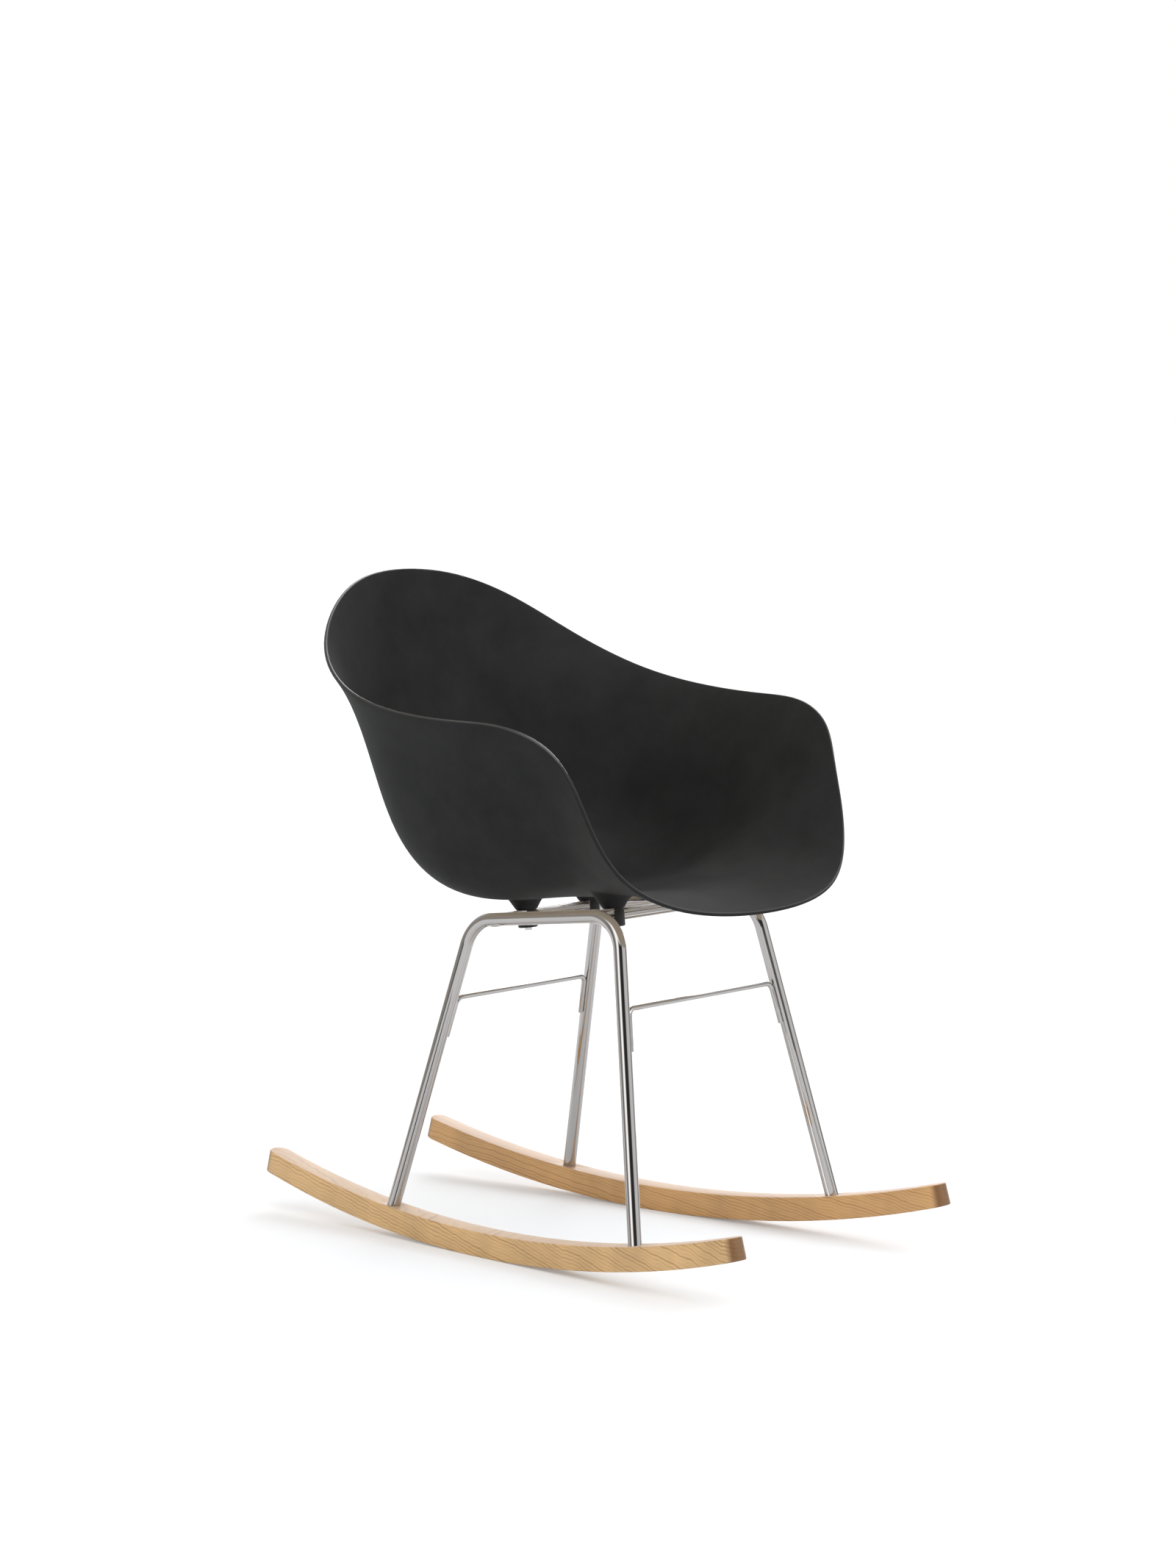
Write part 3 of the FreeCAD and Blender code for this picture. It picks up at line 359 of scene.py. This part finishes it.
# %% [markdown]
# ## Bright chrome and duller metals
#
# Chrome has no colour of its own to speak of: what one sees is the room. So the shader is a
# plain metal with a low roughness, and the room decides the stripes. A faint cloudiness and a
# very fine unevenness, left by polishing the tube before plating, keep it from looking like a
# drawing. Bolts, plugs and inserts are duller, so the same function makes them with more
# roughness, more cloud and more rubbing.


# %% Metals
def bare_metal(name, colour, roughness, cloud, rub, rub_size, rub_height):
    """A metal whose gloss varies with handling."""
    material, tree, shader = new_material(name, Metallic=1.0, Base_Color=(*colour, 1.0))
    touch = use_group(
        tree, handling, Roughness=roughness, Cloud_size=14.0, Cloud_strength=cloud,
        Rub_size=rub_size, Rub_strength=rub)
    bump = place(tree, "ShaderNodeBump", {"Strength": 0.25, "Distance": rub_height})
    wire(
        tree,
        (touch, "Roughness", shader, "Roughness"),
        (touch, "Height", bump, "Height"),
        (bump, "Normal", shader, "Normal"),
    )
    return material


bright_chrome = bare_metal(
    "bright chrome", (0.49, 0.472, 0.462), roughness=0.02, cloud=0.02, rub=0.02, rub_size=380.0,
    rub_height=0.000003)
zinc_steel = bare_metal(
    "zinc plated steel", (0.9, 0.9, 0.89), roughness=0.5, cloud=0.12, rub=0.15, rub_size=900.0,
    rub_height=0.00001)
brass = bare_metal(
    "turned brass", (0.72, 0.52, 0.22), roughness=0.28, cloud=0.1, rub=0.12, rub_size=700.0,
    rub_height=0.00001)
dark_steel = bare_metal(
    "oiled steel", (0.28, 0.28, 0.29), roughness=0.4, cloud=0.12, rub=0.15, rub_size=700.0,
    rub_height=0.00001)
print("metals:", ", ".join(metal.name for metal in (bright_chrome, zinc_steel, brass, dark_steel)))

# %% [markdown]
# ## Growth rings of ash
#
# Ash grows a ring of open pores each spring and dense wood after it. A board cuts through these
# rings, so its sides show lines: close and straight where it cuts across them, wide and arched
# where it just touches one. If the rings are built in space, round a pith that runs a little
# askew along the rocker, each side and end of it shows the right lines by itself. The distance
# from that pith, divided by the ring spacing, counts the rings; what is left over after whole
# rings tells how far into its ring a point is. A wide noise makes the rings waver, and finer
# ones, stretched along the rocker, give the pores and fibres.

# %% The ring group
ash_rings, given, result = new_group(
    "growth rings of ash",
    {"Spacing": 0.0034, "Pith X": 0.19, "Pith Z": 0.03, "Slope": 0.06, "Wobble": 0.014},
    dict.fromkeys(("Line", "Pores", "Fibre", "Patch"), "NodeSocketFloat"),
)
where = place(ash_rings, "ShaderNodeTexCoord")


def wood_noise(tree, where, across, along, **values):
    """A noise with so many grains a metre across the rocker, and so many along it."""
    stretch = place(tree, "ShaderNodeMapping", {"Scale": (across, along, across)})
    noise = place(tree, "ShaderNodeTexNoise", {"Scale": 1.0, **values})
    wire(tree, (where, "Object", stretch, 0), (stretch, 0, noise, "Vector"))
    return noise


wide_noise = wood_noise(ash_rings, where, across=12.0, along=22.0, Detail=3.0, Roughness=0.58)
waver = centred(ash_rings, wide_noise, given, "Wobble")
pore_noise = wood_noise(ash_rings, where, across=2200.0, along=130.0, Detail=2.0)
fibre = wood_noise(ash_rings, where, across=700.0, along=14.0, Detail=4.0, Roughness=0.6)
patch = wood_noise(ash_rings, where, across=10.0, along=20.0, Detail=2.0)
print("noises for the rings, pores, fibres and patches of ash")

# %% Distance from the pith
place_in_board = place(ash_rings, "ShaderNodeSeparateXYZ")
out_x = calculate(ash_rings, "SUBTRACT")
up_z = calculate(ash_rings, "SUBTRACT")
rise = calculate(ash_rings, "MULTIPLY")
up_slope = calculate(ash_rings, "SUBTRACT")
up_waver = calculate(ash_rings, "ADD")
from_pith = place(ash_rings, "ShaderNodeCombineXYZ")
distance = place(ash_rings, "ShaderNodeVectorMath", operation="LENGTH")
wire(
    ash_rings,
    (where, "Object", place_in_board, 0),
    (place_in_board, "X", out_x, 0),
    (given, "Pith X", out_x, 1),
    (place_in_board, "Z", up_z, 0),
    (given, "Pith Z", up_z, 1),
    (place_in_board, "Y", rise, 0),
    (given, "Slope", rise, 1),
    (up_z, 0, up_slope, 0),
    (rise, 0, up_slope, 1),
    (up_slope, 0, up_waver, 0),
    (waver, 0, up_waver, 1),
    (out_x, 0, from_pith, "X"),
    (up_waver, 0, from_pith, "Z"),
    (from_pith, 0, distance, 0),
)
print("distance from the pith, with", len(ash_rings.nodes), "nodes in the group so far")

# %% Lines and pores
rings = calculate(ash_rings, "DIVIDE")
into_ring = calculate(ash_rings, "FRACT")
which_ring = calculate(ash_rings, "FLOOR")
ring_mood = place(ash_rings, "ShaderNodeTexWhiteNoise", noise_dimensions="1D")
strength = spread(ash_rings, start=0.0, end=1.0, low=0.12, high=1.1)
dark_line = spread(
    ash_rings, start=0.0, end=0.5, low=1.0, high=0.0, interpolation_type="SMOOTHSTEP")
line = calculate(ash_rings, "MULTIPLY")
pore_cut = spread(ash_rings, start=0.56, end=0.66)
pores = calculate(ash_rings, "MULTIPLY")
wire(
    ash_rings,
    (distance, "Value", rings, 0),
    (given, "Spacing", rings, 1),
    (rings, 0, into_ring, 0),
    (rings, 0, which_ring, 0),
    (which_ring, 0, ring_mood, "W"),
    (ring_mood, 0, strength, 0),
    (into_ring, 0, dark_line, 0),
    (dark_line, 0, line, 0),
    (strength, 0, line, 1),
    (line, 0, result, "Line"),
    (pore_noise, 0, pore_cut, 0),
    (pore_cut, 0, pores, 0),
    (line, 0, pores, 1),
    (pores, 0, result, "Pores"),
    (fibre, 0, result, "Fibre"),
    (patch, 0, result, "Patch"),
)
print("ring group has", len(ash_rings.nodes), "nodes")

# %% [markdown]
# ## Oiled and lacquered ash
#
# Each rocker is cut from its own board, so each gets its own rings and its own warmth. The
# spring wood is darker, its pores darker still. The ends are end grain, which drinks more
# lacquer and turns deeper brown, and that brown is partly painted shade as well. The faces that
# look up get a painted sheen: a pale colour, which also calms their rings. The direction in
# which the surface faces finds both.

# %% Wood for one rocker
PORE_BROWN = (0.20, 0.105, 0.045)
# Brown of the ends: partly the end grain's own deeper colour, partly painted shade.
END_GRAIN_AND_SHADE_BROWN = (0.17, 0.078, 0.026)
# Painted sheen: a pale colour for the faces that look up.
TOP_PAINTED_SHEEN = (0.62, 0.46, 0.37)


def ash(name, pale, spring, spacing, pith_x, pith_z, slope, wobble):
    """Ash from one board, with its rings round a pith of its own."""
    material, tree, shader = new_material(
        name, Specular_IOR_Level=0.4, Coat_Roughness=0.3, Coat_Weight=0.45)
    rings = use_group(
        tree, ash_rings, Spacing=spacing, Pith_X=pith_x, Pith_Z=pith_z, Slope=slope,
        Wobble=wobble)
    touch = use_group(
        tree, handling, Roughness=0.42, Cloud_size=18.0, Cloud_strength=0.1, Rub_strength=0.05)
    mild = calculate(tree, "MULTIPLY", second=0.95)
    grown = blend(tree, A=pale, B=spring)
    few = calculate(tree, "MULTIPLY", second=0.45)
    porous = blend(tree, B=PORE_BROWN)
    fibre_tone = spread(tree, start=0.3, end=0.7, low=0.93, high=1.06)
    patch_tone = spread(tree, start=0.3, end=0.7, low=0.87, high=1.1)
    tones = calculate(tree, "MULTIPLY")
    toned = place(tree, "ShaderNodeVectorMath", operation="SCALE")
    surface = place(tree, "ShaderNodeTexCoord")
    facing = place(tree, "ShaderNodeSeparateXYZ")
    # Faces that look along the rocker, its ends, turn brown: partly end grain, partly painted
    # shade.
    lengthways = calculate(tree, "ABSOLUTE")
    end_grain_and_shade = spread(tree, start=0.12, end=0.6, high=0.92)
    browned_and_shaded = blend(tree, B=END_GRAIN_AND_SHADE_BROWN)
    # Faces that look up are blended towards a pale colour, a painted sheen of the lacquer.
    painted_sheen_on_top = spread(tree, start=0.7, end=0.95, high=0.5)
    top_sheen_painted = blend(tree, B=TOP_PAINTED_SHEEN)
    bump = place(tree, "ShaderNodeBump", {"Strength": 0.3, "Distance": 0.00008}, invert=True)
    wire(
        tree,
        (rings, "Line", mild, 0),
        (mild, 0, grown, "Factor"),
        (grown, 2, porous, "A"),
        (rings, "Pores", few, 0),
        (few, 0, porous, "Factor"),
        (rings, "Fibre", fibre_tone, 0),
        (rings, "Patch", patch_tone, 0),
        (fibre_tone, 0, tones, 0),
        (patch_tone, 0, tones, 1),
        (porous, 2, toned, 0),
        (tones, 0, toned, "Scale"),
        (surface, "Normal", facing, 0),
        (facing, "Y", lengthways, 0),
        (lengthways, 0, end_grain_and_shade, 0),
        (end_grain_and_shade, 0, browned_and_shaded, "Factor"),
        (toned, 0, browned_and_shaded, "A"),
        (facing, "Z", painted_sheen_on_top, 0),
        (painted_sheen_on_top, 0, top_sheen_painted, "Factor"),
        (browned_and_shaded, 2, top_sheen_painted, "A"),
        (top_sheen_painted, 2, shader, "Base Color"),
        (touch, "Roughness", shader, "Roughness"),
        (rings, "Pores", bump, "Height"),
        (bump, "Normal", shader, "Normal"),
    )
    return material


ash_right = ash(
    "ash of the right rocker", pale=(0.69, 0.44, 0.195), spring=(0.36, 0.18, 0.055),
    spacing=0.0044, pith_x=-0.192, pith_z=-0.15, slope=0.25, wobble=0.017)
ash_left = ash(
    "ash of the left rocker", pale=(0.625, 0.356, 0.138), spring=(0.36, 0.165, 0.05),
    spacing=0.0036, pith_x=0.12, pith_z=-0.06, slope=0.14, wobble=0.010)
print("boards:", ash_right.name, "and", ash_left.name)

# %% [markdown]
# ## The bowl's rim
#
# The bowl is one injection moulding about four and a half millimetres thick. Its form comes
# from the measured solid, because it also carries the bosses. A mould never leaves the rim
# sharp, and its real edge catches a thin bright line. A bevel on all sharp edges would round
# the bosses as much as the rim. So the sharp edges are selected by an operator, those near the
# middle are let go, and the rest get a bevel weight, which the bevel then reads. After it, a
# smaller bevel softens what is still sharp.

# %% Rounding the rim
# The rim lies farther than this from the middle of the seat, the bosses' edges nearer.
RIM_BEYOND = 0.15
RIM_RADIUS = 0.0011

bowl = clean_copy("seat_shell", smooth_up_to=32.0)
bpy.ops.object.mode_set(mode="EDIT")
bpy.ops.mesh.select_all(action="DESELECT")
bpy.ops.mesh.select_mode(type="EDGE")
bpy.ops.mesh.edges_select_sharp(sharpness=math.radians(30.0))
bpy.ops.object.mode_set(mode="OBJECT")
points = bowl.data.vertices
for edge in bowl.data.edges:
    far_out = all(points[end].co.xy.length > RIM_BEYOND for end in edge.vertices)
    edge.select = edge.select and far_out
rim = [points[end].co.copy() for edge in bowl.data.edges if edge.select for end in edge.vertices]
bpy.ops.object.mode_set(mode="EDIT")
bpy.ops.transform.edge_bevelweight(value=1.0)
bpy.ops.object.mode_set(mode="OBJECT")
round_edges(bowl, RIM_RADIUS, steps=3, limit_method="WEIGHT")
soften(bowl, radius=0.0005, sharper_than=35.0)
print(len(rim), "points along the rim")

# %% [markdown]
# ## The mark on the rim
#
# The plastic of the bowl shines along its edge, and it finds that edge by a mark on the mesh's
# points. One could paint it by hand. Here it goes to every point that lies close to where the
# sharp edge ran before the bevel; a tree of the edge's points makes the search quick.

# %% Marking the rim
RIM_REACH = 0.0018


def mark_edge(piece, outline, reach):
    """Marks the points of a piece that lie within reach of a set of outline points."""
    near = KDTree(len(outline))
    for number, point in enumerate(outline):
        near.insert(point, number)
    near.balance()
    mark = piece.data.attributes.new(EDGE_MARK, "FLOAT", "POINT")
    values = [float(near.find(vertex.co)[2] < reach) for vertex in piece.data.vertices]
    mark.data.foreach_set("value", values)
    return int(sum(values))


print(mark_edge(bowl, rim, RIM_REACH), "points marked")
fit_to_chair(bowl, bowl_black, "shell_black", "seat_shell")

# %% [markdown]
# ## The tube frame
#
# Two bent side frames and two cross tubes, all of one tube, and two thin rods that keep the
# legs apart. They are plated after welding, so all of it has one skin of chrome. The copies
# of the tubes only need smooth shading; the rods' ends are rounded as well.

# %% Tubes and rods
for name in ("side_frame_left", "side_frame_right", "cross_tube_front", "cross_tube_rear"):
    tube = clean_copy(name, smooth_up_to=30.0)
    fit_to_chair(tube, bright_chrome, "frame_chrome", name)

for name in ("stretcher_front", "stretcher_rear"):
    rod = clean_copy(name, smooth_up_to=30.0)
    soften(rod, radius=0.0012, sharper_than=50.0, steps=3)
    fit_to_chair(rod, bright_chrome, "frame_chrome", name)

# %% [markdown]
# ## Tools for cutting
#
# Some forms are easiest to get as what two simple solids share, or as what one takes out of the
# other: a Boolean modifier does both. The chair is the same on both sides, so a tool's place is
# measured on the left half and taken over to the right by turning the sign of x.

# %% Bars and Booleans
ENDS = ("front", "rear")
SIDES = {"left": 1.0, "right": -1.0}


def on_side(side, x, y, z):
    """A point or direction of the left half, on this side of the chair."""
    return Vector((side * x, y, z))


def short_bar(name, radius, length, middle, direction, corners=64):
    """A short bar through a point, along a direction, with its turn and place applied."""
    bpy.ops.object.select_all(action="DESELECT")
    bpy.ops.mesh.primitive_cylinder_add(vertices=corners, radius=radius, depth=length)
    bar = bpy.context.object
    bar.name = name
    bar.rotation_mode = "QUATERNION"
    bar.rotation_quaternion = direction.to_track_quat("Z", "Y")
    bar.location = middle
    bpy.ops.object.transform_apply(location=True, rotation=True, scale=True)
    return bar


def combine(piece, tool, operation):
    """Applies a Boolean of a tool to a piece and takes the tool away."""
    choose(piece)
    boolean = piece.modifiers.new("shape by tool", "BOOLEAN")
    boolean.operation = operation
    boolean.object = tool
    bpy.ops.object.modifier_apply(modifier=boolean.name)
    bpy.data.objects.remove(tool)


# %% [markdown]
# ## Welds
#
# Each cross tube is welded to the two top bars all round. Take two short bars, a little thicker
# than the tubes, one along the cross tube and one along the top bar: the space they share is
# just the bead that rises where the tubes meet. A Boolean that keeps what both have in common
# makes it, and a bevel rounds it.

# %% Weld beads
BEAD_RADIUS = 0.0091
TUBE_BAR_LENGTH = 0.013
TOP_BAR_LENGTH = 0.03
INWARDS = 0.0055
ALONG_TUBE = Vector((1.0, 0.0, 0.0))
ALONG_BAR = (-0.0444, 0.9924, -0.1145)
# Measured on the left: x, y and z of the top bar's middle beside a cross tube, and the tube's z.
MEETINGS = {
    "front": (0.1242, -0.135, 0.41497, 0.41348),
    "rear": (0.11684, 0.03, 0.39594, 0.39444),
}

for end, (bar_x, y, bar_z, tube_z) in MEETINGS.items():
    for hand, side in SIDES.items():
        bead = short_bar(
            f"weld_bead_{end}_{hand}", BEAD_RADIUS, TUBE_BAR_LENGTH,
            on_side(side, bar_x - INWARDS, y, tube_z), ALONG_TUBE)
        beside = short_bar(
            "along the bar", BEAD_RADIUS, TOP_BAR_LENGTH,
            on_side(side, bar_x, y, bar_z), on_side(side, *ALONG_BAR))
        combine(bead, beside, "INTERSECT")
        soften(bead, radius=0.0005, sharper_than=40.0)
        choose(bead)
        bpy.ops.object.shade_smooth()
        fit_to_chair(bead, bright_chrome, "frame_chrome")

# %% [markdown]
# ## Saddles and bolts
#
# A saddle of black plastic wraps the cross tube from below and closes against the boss; a bolt
# with a hexagon head draws the two together. Both have small moulded or turned radii, which a
# bevel on their sharp edges gives.

# %% Saddles and seat bolts
for end in ENDS:
    for hand in SIDES:
        saddle = clean_copy(f"saddle_{end}_{hand}", smooth_up_to=35.0)
        soften(saddle, radius=0.0006, sharper_than=50.0)
        fit_to_chair(saddle, saddle_black, "saddle_black", f"saddle_{end}_{hand}")

bolts = clean_copy("seat_bolt_group", smooth_up_to=30.0)
soften(bolts, radius=0.0003, sharper_than=50.0)
fit_to_chair(bolts, zinc_steel, "bolt_steel", "seat_bolt_group")

# %% [markdown]
# ## Rockers
#
# A rocker is sawn from a straight board along an arc, so the wood's lines run straight on while
# the rocker curves through them. Its long edges are broken with sandpaper, its end corners cut
# round. The bevel gives the sandpaper's radius.

# %% Rockers
for hand, wood in (("left", ash_left), ("right", ash_right)):
    rocker = clean_copy(f"rocker_{hand}", smooth_up_to=30.0)
    soften(rocker, radius=0.0006, sharper_than=30.0)
    fit_to_chair(rocker, wood, "rocker_wood", f"rocker_{hand}")

# %% [markdown]
# ## Screws with sockets
#
# Underneath, the heads of four screws lie sunk in the rockers. A hexagon key turns them, so each
# head gets a hexagonal socket: a six-sided bar, stood on the leg's own line, is cut out of it.
# How deep the head lies is measured: it is the lowest point near the foot, along the leg.

# %% Rocker screws
KEY_RADIUS = 0.0029
KEY_LENGTH = 0.005
SCREW_WITHIN = 0.06
# Measured on the left: the middle of each leg's foot, and the direction from there up the leg.
FEET = (
    ((0.18864, -0.25381, 0.03404), (-0.15728, 0.20197, 0.96668)),
    ((0.16497, 0.15992, 0.02067), (-0.12883, -0.24359, 0.96128)),
)

screws = clean_copy("rocker_screw_group", smooth_up_to=30.0)
for side in SIDES.values():
    for foot_at, leg_line in FEET:
        foot = on_side(side, *foot_at)
        up = on_side(side, *leg_line).normalized()
        offsets = [vertex.co - foot for vertex in screws.data.vertices]
        head = min(offset.dot(up) for offset in offsets if offset.length < SCREW_WITHIN)
        key = short_bar("hexagon key", KEY_RADIUS, KEY_LENGTH, foot + head * up, up, corners=6)
        combine(screws, key, "DIFFERENCE")
        print("head face", round(-1000 * head, 2), "mm below the foot's middle")
soften(screws, radius=0.0002, sharper_than=50.0)
fit_to_chair(screws, zinc_steel, "bolt_steel", "rocker_screw_group")

# %% [markdown]
# ## Small fixings
#
# The threaded plugs in the legs and the brass inserts in the bosses are hidden. Nobody sees
# their edges, so the measured solids serve as they are and only take their metals.


# %% Materials on the solids that stay
def dress_solid(name, material):
    """A measured solid keeps its mesh and takes a material."""
    thing = solids[name]
    thing.data.materials.clear()
    thing.data.materials.append(material)
    print(name, "takes", material.name)


dress_solid("seat_insert_group", brass)
for end in ENDS:
    for hand in SIDES:
        dress_solid(f"leg_plug_{end}_{hand}", dark_steel)

# %% [markdown]
# ## Floor
#
# The chair stands on plain white paper in a photographer's studio. To the camera the paper is
# nearly burnt out, which a faint light of its own gives. It ends some way in front of the
# chair; the picture doesn't show that, but the chrome does, so the floor turns dark there for
# every ray but the camera's own.

# %% Paper on the floor
# The direction of the photographer, in degrees round the chair from the x axis.
PHOTOGRAPHER = 221.0
FLOOR_WIDTH = 400.0
# Between these two distances, towards the photographer, the paper gives way to a dark floor.
PAPER_ENDS = (3.3, 3.8)
PAPER = (0.725, 0.74, 0.76)
BEYOND_PAPER = (0.08, 0.08, 0.08)
TO_PHOTOGRAPHER = (
    math.cos(math.radians(PHOTOGRAPHER)), math.sin(math.radians(PHOTOGRAPHER)), 0.0)

bpy.ops.object.select_all(action="DESELECT")
bpy.ops.mesh.primitive_plane_add(size=FLOOR_WIDTH, location=(0, 0, 0))
floor = bpy.context.object
floor.name = "studio floor"
floor_white, tree, shader = new_material(
    "floor white", Roughness=0.9, Specular_IOR_Level=0.1,
    Emission_Color=(0.99, 0.995, 1.0, 1.0))
rays = place(tree, "ShaderNodeLightPath")
where = place(tree, "ShaderNodeTexCoord")
towards = place(tree, "ShaderNodeVectorMath", {1: TO_PHOTOGRAPHER}, operation="DOT_PRODUCT")
paper_end = spread(tree, *PAPER_ENDS, interpolation_type="SMOOTHSTEP")
unseen = calculate(tree, "SUBTRACT", first=1.0)
dark_floor = calculate(tree, "MULTIPLY")
paper = blend(tree, A=PAPER, B=BEYOND_PAPER)
bleached = spread(tree, start=0.0, end=1.0, low=0.05, high=0.21)
wire(
    tree,
    (where, "Object", towards, 0),
    (towards, "Value", paper_end, 0),
    (rays, "Is Camera Ray", unseen, 1),
    (unseen, 0, dark_floor, 0),
    (paper_end, 0, dark_floor, 1),
    (dark_floor, 0, paper, "Factor"),
    (paper, 2, shader, "Base Color"),
    (rays, "Is Camera Ray", bleached, 0),
    (bleached, 0, shader, "Emission Strength"),
)
floor.data.materials.append(floor_white)
print("white paper, dark beyond", PAPER_ENDS[0], "metres")

# %% [markdown]
# ## Room
#
# Chrome shows the studio like a mirror, and a satin black bowl shows it blurred, so the room
# matters more than the lamps. It could be modelled with walls and soft boxes. It is quicker to
# draw it as shades round the horizon, which stay where they are whatever the camera does. Seen
# from the chair it is dark where the photographer stands, with a bright soft box to the left of
# that, a grey wall further left, a white wall to the right and the lit backdrop behind. The
# upper part of the room has shades of its own: bright reflectors in front, and to the left a
# dim, warm ceiling. The camera itself sees plain white.

# %% Shades round the room
# Each shade is (degrees to the right of the photographer, seen from the chair; brightness;
# warmth, from white to the colour of a plastered ceiling).
LOW_SHADES = (
    (-180, 0.7, 0), (-150, 0.55, 0), (-127, 0.5, 0.3), (-108, 0.42, 0.8), (-84, 0.45, 0.5),
    (-72, 0.22, 0), (-62, 0.4, 0), (-54, 1.3, 0), (-46, 2.0, 0), (-28, 1.8, 0), (-18, 0.4, 0),
    (-11, 0.05, 0), (26, 0.04, 0), (36, 0.12, 0), (46, 0.9, 0), (90, 1.0, 0), (104, 0.6, 0),
    (114, 0.32, 0), (130, 0.32, 0), (144, 1.6, 0), (155, 3.0, 0), (172, 3.0, 0), (180, 0.9, 0),
)
HIGH_SHADES = (
    (-180, 0.9, 0.1), (-150, 0.4, 0.6), (-110, 0.45, 1), (-80, 0.8, 0.5), (-50, 1.8, 0),
    (-25, 2.0, 0), (0, 2.0, 0), (40, 2.6, 0), (80, 2.6, 0), (110, 1.0, 0), (150, 1.8, 0),
    (172, 2.2, 0), (180, 0.9, 0.1),
)
# What full warmth takes off a shade's green and blue.
LESS_GREEN = 0.1
LESS_BLUE = 0.24


def shade_ramp(tree, shades):
    """A colour ramp round the room, from shades at angles."""
    ramp = place(tree, "ShaderNodeValToRGB")
    elements = ramp.color_ramp.elements
    ready_made = len(elements)
    for number, (degrees, shade, warmth) in enumerate(shades):
        turned = (degrees + 180.0) / 360.0
        stop = elements[number] if number < ready_made else elements.new(turned)
        stop.position = turned
        green = shade * (1.0 - LESS_GREEN * warmth)
        blue = shade * (1.0 - LESS_BLUE * warmth)
        stop.color = (shade, green, blue, 1.0)
    return ramp


# %% Room
# Between these heights, on a globe of radius 1 round the chair, low shades turn into high ones.
UPPER_PART = (0.45, 0.72)

room = bpy.data.worlds.new("studio room")
bpy.context.scene.world = room
room.use_nodes = True
tree = room.node_tree
tree.nodes.clear()
where = place(tree, "ShaderNodeTexCoord")
turn = place(tree, "ShaderNodeMapping", {"Rotation": (0.0, 0.0, math.radians(-PHOTOGRAPHER))})
round_about = place(tree, "ShaderNodeTexGradient", gradient_type="RADIAL")
low_shades = shade_ramp(tree, LOW_SHADES)
high_shades = shade_ramp(tree, HIGH_SHADES)
height = place(tree, "ShaderNodeSeparateXYZ")
above = spread(tree, *UPPER_PART, interpolation_type="SMOOTHSTEP")
walls = blend(tree)
rays = place(tree, "ShaderNodeLightPath")
seen = blend(tree, B=(1.0, 1.0, 1.0))
glow = place(tree, "ShaderNodeBackground")
out = place(tree, "ShaderNodeOutputWorld")
wire(
    tree,
    (where, "Generated", turn, 0),
    (turn, 0, round_about, 0),
    (round_about, 1, low_shades, 0),
    (round_about, 1, high_shades, 0),
    (where, "Generated", height, 0),
    (height, "Z", above, 0),
    (above, 0, walls, "Factor"),
    (low_shades, 0, walls, "A"),
    (high_shades, 0, walls, "B"),
    (walls, 2, seen, "A"),
    (rays, "Is Camera Ray", seen, "Factor"),
    (seen, 2, glow, "Color"),
    (glow, 0, out, 0),
)
print("room with", len(LOW_SHADES), "low and", len(HIGH_SHADES), "high shades")

# %% [markdown]
# ## Lamp and camera
#
# The room gives nearly all the light. One soft box behind the chair adds the gentle shadows
# that reach forward under the rockers. The picture was taken from the right front corner, a
# little above the seat, with a long lens.


# %% Lamp
def set_up(name, data, spot, aim):
    """Stands a lamp or a camera at a spot, facing a point."""
    thing = bpy.data.objects.new(name, data)
    bpy.context.scene.collection.objects.link(thing)
    thing.location = spot
    thing.rotation_mode = "QUATERNION"
    thing.rotation_quaternion = (Vector(aim) - Vector(spot)).to_track_quat("-Z", "Y")
    return thing


soft_box = bpy.data.lights.new("soft box behind", "AREA")
soft_box.energy = 14.0
soft_box.size = 1.8
set_up("soft box behind", soft_box, spot=(1.45, 1.15, 2.45), aim=(0.0, 0.0, 0.5))
print("one soft box of", soft_box.energy, "watts")

# %% Camera
lens = bpy.data.cameras.new("long lens")
lens.lens = 87.06
lens.sensor_fit = "VERTICAL"
lens.sensor_height = 36.0
bpy.context.scene.camera = set_up(
    "camera", lens, spot=(-3.45035, -3.01707, 1.00652), aim=(0.0, -0.01735, 0.55359))
bpy.context.scene.view_settings.view_transform = "Standard"
print("camera with a lens of", round(lens.lens, 2), "mm")
